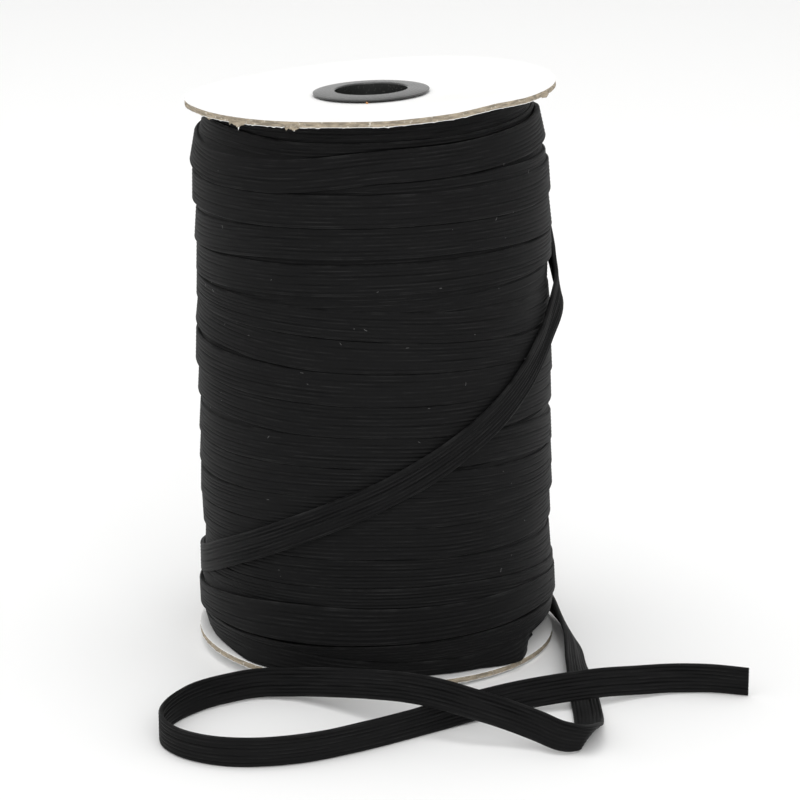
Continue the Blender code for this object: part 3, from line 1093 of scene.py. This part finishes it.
@dataclass
class WoundTurns:
    """The outer layer of the winding: one ribbed band that climbs round the reel.

    Its rows wander up and down and sway in and out by a few waves, are pulled wide enough to meet
    the row below, more so the low ones, and sink in where a neighbour laps over them.
    """

    section: BandSection
    degrees: float = 3.0
    rib_steps: int = 4
    seed: int = 5
    start: float = -20.0
    start_lead: float = 6.0
    start_fade: float = 9.0
    start_depth: float = 2.2 * MM
    run_out: float = 60.0
    smoothing: float = 12.0
    waves: tuple[Pair, ...] = ((2.3, 0.4), (5.1, 2.1), (9.7, 4.0))
    wander: float = 0.12 * MM
    sway: Pair = (0.04 * MM, 0.05 * MM)
    sway_rates: Pair = (2.1, 1.7)
    missing_pitch: float = 1.2
    low_rows: float = 21.5 * MM
    low_overlap: float = 0.5 * MM
    widest: Pair = (7.7 * MM, 10.4 * MM)
    below_widest: float = 0.2 * MM
    narrowest: float = 5.9 * MM
    unpulled: float = 6.7 * MM
    width_reach: int = 6
    lap_slope: float = 0.7 * MM
    lap_lead: float = 0.2
    lap_sink: float = 0.6
    squeezed_gap: float = 0.2 * MM
    squeezed_share: float = 0.02
    bulge_height: float = 6.0 * MM
    bulge_curve: float = 1.3
    strip_seed: int = 20
    strip_fade: float = 15.0
    strip_depth: float = 1.2 * MM
    strip_lean: float = 0.45 * MM

    @property
    def lap(self) -> int:
        """Steps in one turn."""
        return int(round(360 / self.degrees))

    def stations(self) -> tuple[np.ndarray, np.ndarray]:
        """Where the upper edge of the whole climb passes.

        Returns:
            The angles, falling from 0 by a full turn for each row from the bottom up, and rows
            of (height, upper radius, lower radius) in metres and of lapping over, 0 or 1.
        """
        angles, values = [], []
        for count, turn in enumerate(reversed(TURNS)):
            for index, height in enumerate(reversed(turn.edge)):
                angle = -30.0 * index
                share = 0.5 - 0.5 * math.cos(math.radians(angle))
                radii = [(right + (left - right) * share) * MM
                         - FLATTENING * math.sin(math.radians(angle)) ** 2
                         for left, right in zip(turn.left, turn.right)]
                angles.append(angle - 360.0 * count)
                values.append((height * MM, *radii, float(turn.over)))
        return np.array(angles), np.array(values)

    def climb(self) -> tuple[np.ndarray, np.ndarray]:
        """Read the stations at even steps, smooth them and let them wander a little.

        Returns:
            The angles in degrees and rows of (height, upper radius, lower radius, lapping).
        """
        angles, values = self.stations()
        columns = range(values.shape[1])
        steps = np.arange(0.0, angles[-1] - self.run_out, -self.degrees)
        read = np.stack([np.interp(-steps, -angles, values[:, column]) for column in columns], 1)
        reach = int(self.smoothing / self.degrees)
        kernel = np.hanning(2 * reach + 3)[1:-1]
        padded = np.pad(read, ((reach, reach), (0, 0)), mode="edge")
        smooth = np.stack([np.convolve(padded[:, column], kernel / kernel.sum(), mode="valid")
                           for column in columns], 1)
        for waves, phase in self.waves:
            turning = np.radians(steps) * waves / 3 + phase
            smooth[:, 0] += self.wander / waves ** 0.5 * np.sin(turning)
            smooth[:, 1] += self.sway[0] * np.sin(self.sway_rates[0] * turning)
            smooth[:, 2] += self.sway[1] * np.sin(self.sway_rates[1] * turning + 1.0)
        return steps, smooth

    def neighbours(self, height: np.ndarray) -> tuple[np.ndarray, np.ndarray]:
        """Find the rows next to each step of the climb.

        Args:
            height: The climb's upper edge at each step.

        Returns:
            The upper edge of the row below and of the row above at each step.
        """
        apart = self.missing_pitch * self.section.width
        below = np.concatenate([height[:self.lap] - apart, height[:-self.lap]])
        above = np.concatenate([height[self.lap:], height[-self.lap:] + apart])
        return below, above

    def row_width(self, pitch: np.ndarray, height: np.ndarray) -> np.ndarray:
        """How wide the band is pulled so that a row meets the row below it.

        Args:
            pitch: The step down to the next row's upper edge.
            height: The row's own upper edge.

        Returns:
            The width at each step.
        """
        low = height < self.low_rows
        widest = np.where(low, self.widest[1], self.widest[0])
        pulled = np.clip(pitch - low * self.low_overlap, self.narrowest,
                         widest - self.below_widest)
        return np.where(pitch < widest, pulled, self.unpulled)

    def covering(self, overlap: np.ndarray) -> np.ndarray:
        """How much, from 0 to 1, a neighbour that laps this far over the band presses it in."""
        return np.clip(overlap / self.lap_slope + self.lap_lead, 0, 1)

    def low_spread(self, height: np.ndarray, angle: np.ndarray) -> np.ndarray:
        """Push the band outwards near the bottom disc.

        Args:
            height: Heights of the band's points.
            angle: Their angles in radians.

        Returns:
            What is added to their radii.
        """
        turned = -np.mod(-np.degrees(angle), 360.0)
        angles, bulges = zip(*BULGE)
        share = np.clip(1.0 - (height - BOTTOM_MIDDLE) / self.bulge_height, 0.0, 1.0)
        return np.interp(turned, angles, bulges) * MM * share ** self.bulge_curve

    def flat_low(self, height: np.ndarray, radius: np.ndarray, angle: np.ndarray) -> np.ndarray:
        """Keep the band on the bottom disc, where the lowest turns are squeezed on it.

        Args:
            height: Heights of the band's points.
            radius: Their radii.
            angle: Their angles in radians.

        Returns:
            The heights, none of them below the disc's upper face.
        """
        floor = BOTTOM_MIDDLE + BOTTOM_TILT * radius * np.cos(angle) + self.squeezed_gap
        return np.maximum(height, floor + self.squeezed_share * (height - height.min()))

    def build(self, elastic: Material) -> None:
        """Build the climb in place of the plain winding.

        Args:
            elastic: The band's material.
        """
        steps, path = self.climb()
        top, over = path[:, 0], path[:, 3:]
        below, above = self.neighbours(top)
        evening = np.ones(2 * self.width_reach + 1) / (2 * self.width_reach + 1)
        width = np.pad(self.row_width(top - below, top), self.width_reach, mode="edge")
        width = np.convolve(width, evening, mode="valid")
        width_above = self.row_width(above - top, above)
        outline = self.section.outline(self.rib_steps, ribbed_back=False)
        share = outline[:, 0]
        height = path[:, :1] - share * width[:, None]

        over_below = np.concatenate([np.zeros((self.lap, 1)), over[:-self.lap]])
        under_above = self.covering(height - (above - width_above)[:, None])
        under_below = self.covering(below[:, None] - height)
        covered = np.maximum(under_above * (1 - over), under_below * over_below)
        sunk = covered ** 2 * (3 - 2 * covered) * self.lap_sink * self.section.thickness
        along = np.radians(np.abs(steps)) * path[:, 1].mean()
        relief = self.section.worn(outline, along, self.seed)
        radius = (path[:, 1:2] + (path[:, 2:3] - path[:, 1:2]) * share - sunk + relief
                  - self.section.thickness / 2)
        begins = np.clip((self.start - steps[:, None]) / self.start_fade, 0.0, 1.0)
        radius -= (1.0 - begins) * self.start_depth
        angle = np.radians(steps)[:, None]
        radius += self.low_spread(height, angle)
        rings = wrap(radius, angle, self.flat_low(height, radius, angle))
        kept = steps <= self.start + self.start_lead
        shape = ribbon(rings[kept], share, along[kept])
        turns = finish_piece("wound_turns", shape, [elastic])
        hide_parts("winding")

    def build_strip(self, number: int, strip: Strip, elastic: Material) -> None:
        """Build one short stretch, its two ends sunk under its neighbours.

        Args:
            number: The strip's number, for its name.
            strip: Where it lies.
            elastic: The band's material.
        """
        steps = np.arange(strip.last, strip.first - 0.1, -self.degrees)
        spread = np.linspace(strip.first, strip.last, len(strip.edge))
        top = np.interp(steps, spread, strip.edge) * MM
        outline = self.section.outline(self.rib_steps, ribbed_back=False)
        share = outline[:, 0]
        near_end = np.minimum(strip.last - steps, steps - strip.first) / self.strip_fade
        sunk = (1.0 - np.clip(near_end, 0.0, 1.0))[:, None] * self.strip_depth
        height = top[:, None] - share * self.section.width
        along = np.radians(strip.last - steps) * strip.radius * MM
        relief = self.section.worn(outline, along, self.strip_seed + number)
        radius = (strip.radius * MM + self.strip_lean * (share - 0.5) - sunk + relief
                  - self.section.thickness / 2)
        shape = ribbon(wrap(radius, np.radians(steps)[:, None], height), share, along + number)
        finish_piece(f"wound_strip_{number}", shape, [elastic])


@dataclass
class UnderTurns:
    """The layer below, seen in the grooves: plain turns at an even pitch, on a closed core.

    The radii of TURNS are those of a row's middle, half_row below its upper edge. The core's foot
    and head are the radii of its steps at both ends, in millimetres, and it fills wall_span of its
    height with wall_levels steps.
    """

    section: BandSection
    degrees: float = 4.0
    rib_steps: int = 2
    pitch: float = 6.38 * MM
    lowest: float = 12.5 * MM
    highest: float = 123.5 * MM
    depth: float = 0.62 * MM
    half_row: float = 3 * MM
    mean_radius: float = 38.5 * MM
    core_foot: tuple[float, ...] = (20, 28, 33, 35.5)
    core_head: tuple[float, ...] = (33.4, 28, 20)
    core_wall: float = 37.2 * MM
    core_depth: float = 1.4 * MM
    core_gap: float = 0.35 * MM
    core_segments: int = 96
    wall_span: Pair = (0.04, 0.96)
    wall_levels: int = 24

    def radius_at(self, height: np.ndarray, angle: np.ndarray) -> np.ndarray:
        """Find the winding's outer radius.

        Args:
            height: Heights of the upper edges of rows.
            angle: The angles in radians.

        Returns:
            The radius of each row's middle.
        """
        turns = tuple(reversed(TURNS))
        heights = np.array([turn.edge[3] for turn in turns]) * MM
        left = np.array([0.5 * sum(turn.left) for turn in turns]) * MM
        right = np.array([0.5 * sum(turn.right) for turn in turns]) * MM
        share = 0.5 - 0.5 * np.cos(angle)
        return (np.interp(height, heights, right) * (1 - share)
                + np.interp(height, heights, left) * share - FLATTENING * np.sin(angle) ** 2)

    def build(self, elastic: Material) -> None:
        """Build the under-layer.

        Args:
            elastic: The band's material.
        """
        turns = (self.highest - self.lowest) / self.pitch
        steps = np.arange(0.0, turns * 360.0, self.degrees)
        angle = np.radians(steps)
        top = self.lowest + steps / 360.0 * self.pitch
        outline = self.section.outline(self.rib_steps, ribbed_back=False)
        height = top[:, None] - outline[:, 0] * self.section.width
        radius = (self.radius_at(height + self.half_row, angle[:, None]) - self.depth
                  + outline[:, 1] - self.section.thickness / 2)
        shape = ribbon(wrap(radius, angle[:, None], height), outline[:, 0],
                       angle * self.mean_radius)
        finish_piece("under_turns", shape, [elastic])

    def build_core(self, elastic: Material) -> None:
        """Build the body of the winding, out to just under this layer.

        Args:
            elastic: The core's material.
        """
        profile = [(DISC_HOLE, 0.0)] + [(radius * MM, 0.0) for radius in self.core_foot]
        profile += [(self.core_wall, level)
                    for level in np.linspace(*self.wall_span, self.wall_levels)]
        profile += [(radius * MM, 1.0) for radius in self.core_head] + [(DISC_HOLE, 1.0)]
        shape = spin(profile, self.core_segments)
        for vert in shape.verts:
            x, y, level = vert.co
            low = bottom_disc_height(x, y) + self.core_gap
            high = top_disc_height(x, y) - DISC_THICKNESS - self.core_gap
            vert.co.z = low + (high - low) * level
            outer = math.hypot(x, y)
            if outer > self.core_wall - 0.2 * MM:
                height = np.array(vert.co.z + self.half_row)
                layer = float(self.radius_at(height, np.array(math.atan2(y, x)))) - self.depth
                vert.co.xy *= (layer - self.core_depth) / outer
        finish_piece("winding_core", shape, [elastic])


# ---------------------------------------------------------------------------------------------
# The card discs


DISC_RADIUS = 40.5 * MM
DISC_THICKNESS = 1.5 * MM
DISC_HOLE = 11.3 * MM

# The bottom disc's upper face is flat: its height in the middle and its slope, lower at the right.
BOTTOM_MIDDLE = 2.8 * MM
BOTTOM_TILT = math.tan(math.radians(-1.54))

# The top disc's upper face: its height in the middle, how far its rim is dished up, its slopes at
# the hub and at the rim, and the waves of its warp at the rim, by how many lie round the disc.
TOP_MIDDLE = 125.15 * MM
TOP_DISH = 1.35 * MM
TOP_TILT_HUB = math.tan(math.radians(1.8))
TOP_TILT_RIM = math.tan(math.radians(2.96))
TOP_WARP = ((2, 0.17 * MM, 0.20 * MM), (3, -0.17 * MM, -0.06 * MM))

# How far the top disc's rim is bent up, in millimetres, by the angle in degrees.
RIM_LIFT = ((-190, 0.12), (-172, 0.25), (-158, 0.42), (-140, 0.36), (-120, 0.42), (-102, 0.42),
            (-93, 0.22), (-85, 0.0), (-64, 0.0), (-56, 0.30), (-50, 0.48), (-44, 0.30),
            (-36, 0.05), (0, 0.0), (90, 0.0), (170, 0.12))


def top_disc_height(x: float, y: float) -> float:
    """Height of the top disc's upper face: dished, leaning to the left and slightly warped.

    Args:
        x: The place's x in metres.
        y: The place's y in metres.

    Returns:
        The height in metres.
    """
    angle = math.atan2(y, x)
    share = (math.hypot(x, y) / DISC_RADIUS) ** 2
    warp = sum(cosine * math.cos(waves * angle) + sine * math.sin(waves * angle)
               for waves, cosine, sine in TOP_WARP)
    tilt = TOP_TILT_HUB + (TOP_TILT_RIM - TOP_TILT_HUB) * share
    return TOP_MIDDLE + (TOP_DISH + warp) * share + tilt * x


def bottom_disc_height(x: float, y: float) -> float:
    """Height of the bottom disc's upper face at a place, in metres."""
    return BOTTOM_MIDDLE + BOTTOM_TILT * x


class DiscPlace(Enum):
    """The two discs, by the node that each stands for."""

    TOP = "disc_top"
    BOTTOM = "disc_bottom"


@dataclass
class CardDisc:
    """One disc: chipboard faced with white paper, its cut edge rough.

    The radii at which its faces have points are in millimetres. The board is set back by
    board_inset and pitted by up to roughness, torn paper hangs from the lower side as far as
    fringe, less at the right, and the upper side is nicked. The top disc's rim bends up from
    bend_radius outwards, and its left edge stands out a little further.
    """

    place: DiscPlace
    segments: int = 576
    paper: float = 0.12 * MM
    thickness: float = 1.38 * MM
    radii: tuple[float, ...] = (12.5, 16, 20, 24, 27, 30, 33, 36, 38, 39.4, 40.2)
    rim_inset: float = 0.06 * MM
    board_inset: float = 0.03 * MM
    board_margin: float = 0.20 * MM
    board_steps: int = 7
    bend_radius: float = 26 * MM
    roughness: float = 0.07 * MM
    pit_scales: Pair = (1.3, 3.1)
    tear_scales: Pair = (1.1, 2.9)
    nick_scale: float = 0.9
    left_reach: float = 0.4 * MM
    fringe: float = 0.30 * MM
    fringe_right: float = 0.14 * MM
    torn_height: float = 0.3 * MM
    nick_depth: float = 0.25 * MM

    def height_at(self, x: float, y: float) -> float:
        """Height of the disc's upper face.

        Args:
            x: The place's x in metres.
            y: The place's y in metres.

        Returns:
            The height in metres.
        """
        if self.place is DiscPlace.BOTTOM:
            return bottom_disc_height(x, y)
        angle = math.degrees(math.atan2(y, x))
        angles, lifts = zip(*RIM_LIFT)
        lift = float(np.interp(angle - 360.0 * (angle > angles[-1]), angles, lifts))
        share = (math.hypot(x, y) - self.bend_radius) / (DISC_RADIUS - self.bend_radius)
        return top_disc_height(x, y) + lift * MM * min(max(share, 0.0), 1.0) ** 2

    def profile(self) -> list[Pair]:
        """Draw the disc's section.

        Returns:
            Points of (radius, height over the lower face), from the hole outwards and back.
        """
        rim, full = DISC_RADIUS, self.thickness
        radii = [DISC_HOLE] + [radius * MM for radius in self.radii]
        board = np.linspace(full - self.board_margin, self.board_margin, self.board_steps)
        edge = [(rim - self.rim_inset, full - 0.02 * MM), (rim, full - self.paper * 0.5),
                (rim, full - self.paper)]
        edge += [(rim - self.board_inset, level) for level in board]
        edge += [(rim, self.paper), (rim, self.paper * 0.5), (rim - self.rim_inset, 0.0)]
        upper = [(radius, full) for radius in radii]
        return upper + edge + [(radius, 0.0) for radius in reversed(radii)]

    def roughen(self, vert: BMVert, level: float) -> None:
        """Make the cut edge uneven: pits in the board, torn paper below, nicks above.

        Args:
            vert: A point of the edge.
            level: Its height over the disc's lower face.
        """
        direction = Vector((vert.co.x, vert.co.y, 0.0)).normalized()
        spot = direction * (DISC_RADIUS / MM)
        spot.z = level / MM * 2.0
        coarse, fine = self.pit_scales
        pits = noise.noise(spot * coarse) + 0.6 * noise.noise(spot * fine)
        vert.co += direction * pits * self.roughness
        if self.place is DiscPlace.TOP:
            turned_left = max(0.0, -direction.x - 0.75) * 4.0
            vert.co += direction * min(turned_left, 1.0) * self.left_reach
        if level < self.torn_height:
            torn = self.fringe if direction.x < 0.1 else self.fringe_right
            coarse, fine = self.tear_scales
            ragged = (noise.noise(Vector((spot.x, spot.y, 7.0)) * coarse)
                      + 0.7 * noise.noise(Vector((spot.x, spot.y, 2.0)) * fine))
            vert.co.z -= max(0.0, ragged) * torn * (1.0 - level / self.torn_height)
        elif level > self.thickness - self.torn_height:
            nicks = noise.noise(Vector((spot.x, spot.y, 3.0)) * self.nick_scale)
            vert.co += direction * min(0.0, nicks + 0.25) * self.nick_depth

    def build(self, finishes: Finishes) -> None:
        """Build the disc in place of its plain solid.

        Args:
            finishes: The reel's materials.
        """
        shape = spin(self.profile(), self.segments)
        paper_edge = self.paper + self.board_inset
        for face in shape.faces:
            middle = face.calc_center_median()
            on_rim = math.hypot(middle.x, middle.y) > DISC_RADIUS - 0.4 * MM
            on_board = paper_edge < middle.z < self.thickness - paper_edge
            face.material_index = int(on_rim and on_board)
        for vert in shape.verts:
            level = vert.co.z
            radius = math.hypot(vert.co.x, vert.co.y)
            vert.co.z = self.height_at(vert.co.x, vert.co.y) - self.thickness + level
            if radius > DISC_RADIUS - 0.1 * MM:
                self.roughen(vert, level)
        disc = finish_piece("card_" + self.place.value, shape,
                            [finishes.paper, finishes.chipboard])
        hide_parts(self.place.value)


@dataclass(frozen=True)
class Scrap:
    """A torn scrap that hangs from the top disc's edge, of paper or of bare board.

    Its two ends and its tip are in degrees round the disc. It starts at root over the disc's lower
    face and hangs down by the hem at its ends and by the drop more at its tip, in millimetres, and
    stands off the edge a little more there.
    """

    first: float
    last: float
    tip: float
    drop: float
    # Scrap colour: the chipboard finish makes a scrap darker, partly as bare board and partly as
    # painted shade under the disc's edge.
    board: bool = False
    across: int = 22
    down: int = 6
    root: float = 0.25
    hem: float = 0.3
    stand_off: Pair = (0.08, 0.22)
    taper: float = 1.3
    ragged: Pair = (0.75, 0.5)
    rag_scale: float = 2.3
    sheet: float = 0.07 * MM

    def build(self, number: int, disc: CardDisc, finishes: Finishes) -> None:
        """Build the scrap as a thin curled sheet.

        Args:
            number: The scrap's number, for its name and its ragged edge.
            disc: The disc that it hangs from.
            finishes: The reel's materials.
        """
        shape = bmesh.new()
        bmesh.ops.create_grid(shape, x_segments=self.across, y_segments=self.down, size=0.5)
        for vert in shape.verts:
            share, fall = vert.co.x + 0.5, 0.5 - vert.co.y
            angle = self.first + (self.last - self.first) * share
            span = self.tip - self.first if angle < self.tip else self.last - self.tip
            reach = max(0.0, 1.0 - abs(angle - self.tip) / span) ** self.taper
            rag = noise.noise(Vector((angle * self.rag_scale, number * 9.0, 0.0)))
            reach *= self.ragged[0] + self.ragged[1] * rag
            turned = math.radians(angle)
            rim = DISC_RADIUS + (self.stand_off[0] + self.stand_off[1] * fall * reach) * MM
            x, y = rim * math.cos(turned), rim * math.sin(turned)
            low = disc.height_at(x, y) - disc.thickness
            vert.co = (x, y, low + (self.root - fall * (self.hem + self.drop * reach)) * MM)
        bmesh.ops.solidify(shape, geom=list(shape.faces), thickness=self.sheet)
        face_outward(shape)
        # The chipboard finish here stands partly for bare board and partly for painted shade.
        material = finishes.chipboard if self.board else finishes.paper
        finish_piece(f"torn_scrap_{number}", shape, [material])


SCRAPS = (
    Scrap(-137.0, -131.0, -133.6, 0.95, board=True),
    Scrap(-135.2, -132.2, -133.3, 1.35),
    Scrap(-137.6, -136.6, -137.2, 0.8, board=True),
    Scrap(-115.8, -111.6, -113.2, 0.65, board=True),
    Scrap(-116.4, -114.9, -115.8, 0.75, board=True),
    Scrap(-113.8, -112.6, -113.2, 0.85),
    Scrap(-150.0, -146.5, -148.0, 0.40, board=True),
    Scrap(-26.0, -20.0, -22.5, 0.35, board=True),
)


@dataclass
class Lint:
    """Pale fibres caught on the front of the elastic, and one tan crumb on the top disc.

    The spans that fibres are drawn from are in degrees for the angle, a share of the length for
    the bend, and millimetres for the rest.
    """

    count: int = 60
    seed: int = 23
    angles: Pair = (-175.0, -5.0)
    heights: Pair = (9.0, 118.0)
    lengths: Pair = (0.15, 0.75)
    bends: Pair = (-0.5, 0.5)
    thicknesses: Pair = (0.03, 0.055)
    rings: int = 6
    lift: float = 0.12 * MM
    crumb_size: float = 0.28 * MM
    crumb_distance: float = 13.3 * MM
    crumb_angle: float = math.radians(-94.0)
    crumb_lift: float = 0.2 * MM

    def fibre(self, generator: np.random.Generator, place: Vector, outward: Vector) -> np.ndarray:
        """Shape one short bent fibre that lies on a surface.

        Args:
            generator: The source of its shape.
            place: Its middle.
            outward: The surface's direction there.

        Returns:
            Points of each ring, as (rings, 4, 3), in metres.
        """
        side = outward.cross(Vector((0, 0, 1))).normalized()
        rise = side.cross(outward)
        heading = generator.uniform(0, math.pi)
        length = generator.uniform(*self.lengths) * MM
        bend = generator.uniform(*self.bends) * length
        thick = generator.uniform(*self.thicknesses) * MM
        run = side * math.cos(heading) + rise * math.sin(heading)
        off = outward.cross(run)
        rings = []
        for u in np.linspace(-0.5, 0.5, self.rings):
            middle = place + run * float(u) * length + off * float(u * u) * bend
            rings.append([list(middle + off * thick), list(middle + outward * thick),
                          list(middle - off * thick), list(middle - outward * thick)])
        return np.array(rings)

    def build(self, under: UnderTurns, finishes: Finishes) -> None:
        """Build the fibres as one piece, and the crumb.

        Args:
            under: The layer that gives the winding's radius.
            finishes: The reel's materials.
        """
        generator = np.random.default_rng(self.seed)
        joined = bmesh.new()
        for _ in range(self.count):
            angle = math.radians(generator.uniform(*self.angles))
            height = generator.uniform(*self.heights) * MM
            outer = float(under.radius_at(np.array(height), np.array(angle))) + self.lift
            outward = Vector((math.cos(angle), math.sin(angle), 0.0))
            rings = self.fibre(generator, outward * outer + Vector((0, 0, height)), outward)
            piece = ribbon(rings, np.linspace(0, 1, 4), np.linspace(0, 1, self.rings) * MM)
            mesh = bpy.data.meshes.new("fibre")
            piece.to_mesh(mesh)
            piece.free()
            joined.from_mesh(mesh)
            bpy.data.meshes.remove(mesh)
        finish_piece("lint", joined, [finishes.lint])

        crumb = bmesh.new()
        bmesh.ops.create_icosphere(crumb, subdivisions=2, radius=self.crumb_size)
        x = self.crumb_distance * math.cos(self.crumb_angle)
        y = self.crumb_distance * math.sin(self.crumb_angle)
        for vert in crumb.verts:
            vert.co *= 1.0 + 0.5 * noise.noise(vert.co / MM * 3.0)
            vert.co += Vector((x, y, top_disc_height(x, y) + self.crumb_lift))
        finish_piece("crumb", crumb, [finishes.crumb])


# ---------------------------------------------------------------------------------------------
# The hub


@dataclass
class Hub:
    """The two plastic bushings: a domed one above, a thin flat one that the reel stands on.

    The upper one's flange rises by crown_edge at its rounded edge and by crown at the bore, with
    fine turned rings on it, and leans with the disc that it is pressed into.
    """

    bore: float = 8.0 * MM
    sleeve: float = 11.0 * MM
    flange: float = 12.85 * MM
    meeting: float = 63.3 * MM
    segments: int = 144
    seat_gap: float = 0.42 * MM
    crown: float = 0.80 * MM
    crown_edge: float = 0.38 * MM
    crown_rounding: float = 0.35 * MM
    bore_depth: float = 8 * MM
    ring_height: float = 0.012 * MM
    ring_waves: float = 7.5
    lean_curve: int = 8
    foot_rounding: float = 0.3 * MM
    foot_bore_rounding: float = 0.7 * MM
    apart: float = 0.3 * MM

    def ring(self, radius: float) -> float:
        """The fine turned rings on the crown, as heights over it."""
        return self.ring_height * math.sin(radius / MM * self.ring_waves)

    def build_top(self, plastic: Material) -> None:
        """Build the upper bushing in place of its plain solid.

        Args:
            plastic: The bushing's material.
        """
        seat = TOP_MIDDLE + self.seat_gap
        edge, rounding = self.crown_edge, self.crown_rounding
        shoulder = self.bore + rounding
        profile = [(self.bore, self.meeting), (self.sleeve, self.meeting), (self.sleeve, seat)]
        profile += arc((self.flange - edge, seat + edge), (edge, edge), -90, 0, 6)
        profile += arc((shoulder, seat + edge), (self.flange - shoulder, self.crown - edge),
                       0, 90, 48)[1:]
        profile += arc((shoulder, seat + self.crown - rounding), (rounding, rounding),
                       90, 180, 8)[1:]
        profile += [(self.bore, seat - self.bore_depth)]
        profile = [(radius, height + self.ring(radius) if height > seat + edge else height)
                   for radius, height in profile]
        shape = spin(profile, self.segments)
        for vert in shape.verts:
            share = (vert.co.z - self.meeting) / (seat - self.meeting)
            vert.co.z += vert.co.x * TOP_TILT_HUB * max(share, 0.0) ** self.lean_curve
        bushing = finish_piece("hub_top_bushing", shape, [plastic])
        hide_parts("hub_top")

    def build_bottom(self, plastic: Material) -> None:
        """Build the lower bushing in place of its plain solid.

        Args:
            plastic: The bushing's material.
        """
        rounding, inner = self.foot_rounding, self.foot_bore_rounding
        end = self.meeting - self.apart
        profile = [(self.sleeve, end), (self.sleeve, 2 * rounding), (self.flange, 2 * rounding)]
        profile += arc((self.flange - rounding, rounding), (rounding, rounding), 0, -90, 5)
        profile += arc((self.bore + inner, inner), (inner, inner), -90, -180, 6)
        profile += [(self.bore, end)]
        shape = spin(profile, self.segments)
        bushing = finish_piece("hub_bottom_bushing", shape, [plastic])
        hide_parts("hub_bottom")


# ---------------------------------------------------------------------------------------------
# The whole reel


def main() -> None:
    """Set up the studio and the loose band, then the rest of the reel."""
    logging.basicConfig(level=logging.INFO, format="%(name)s: %(message)s")
    Studio().build()
    finishes = Finishes.make()
    section = BandSection()
    LooseBand(BandSection(rib_depth=0.25 * MM)).build(finishes.elastic)
    wound = WoundTurns(section)
    wound.build(finishes.elastic)
    for number, strip in enumerate(STRIPS, start=1):
        wound.build_strip(number, strip, finishes.elastic)
    under = UnderTurns(section)
    under.build(finishes.elastic)
    under.build_core(finishes.elastic)
    for place in DiscPlace:
        CardDisc(place).build(finishes)
    for number, scrap in enumerate(SCRAPS, start=1):
        scrap.build(number, CardDisc(DiscPlace.TOP), finishes)
    Lint().build(under, finishes)
    hub = Hub()
    hub.build_top(finishes.plastic)
    hub.build_bottom(finishes.plastic)


if __name__ == "__main__":
    main()
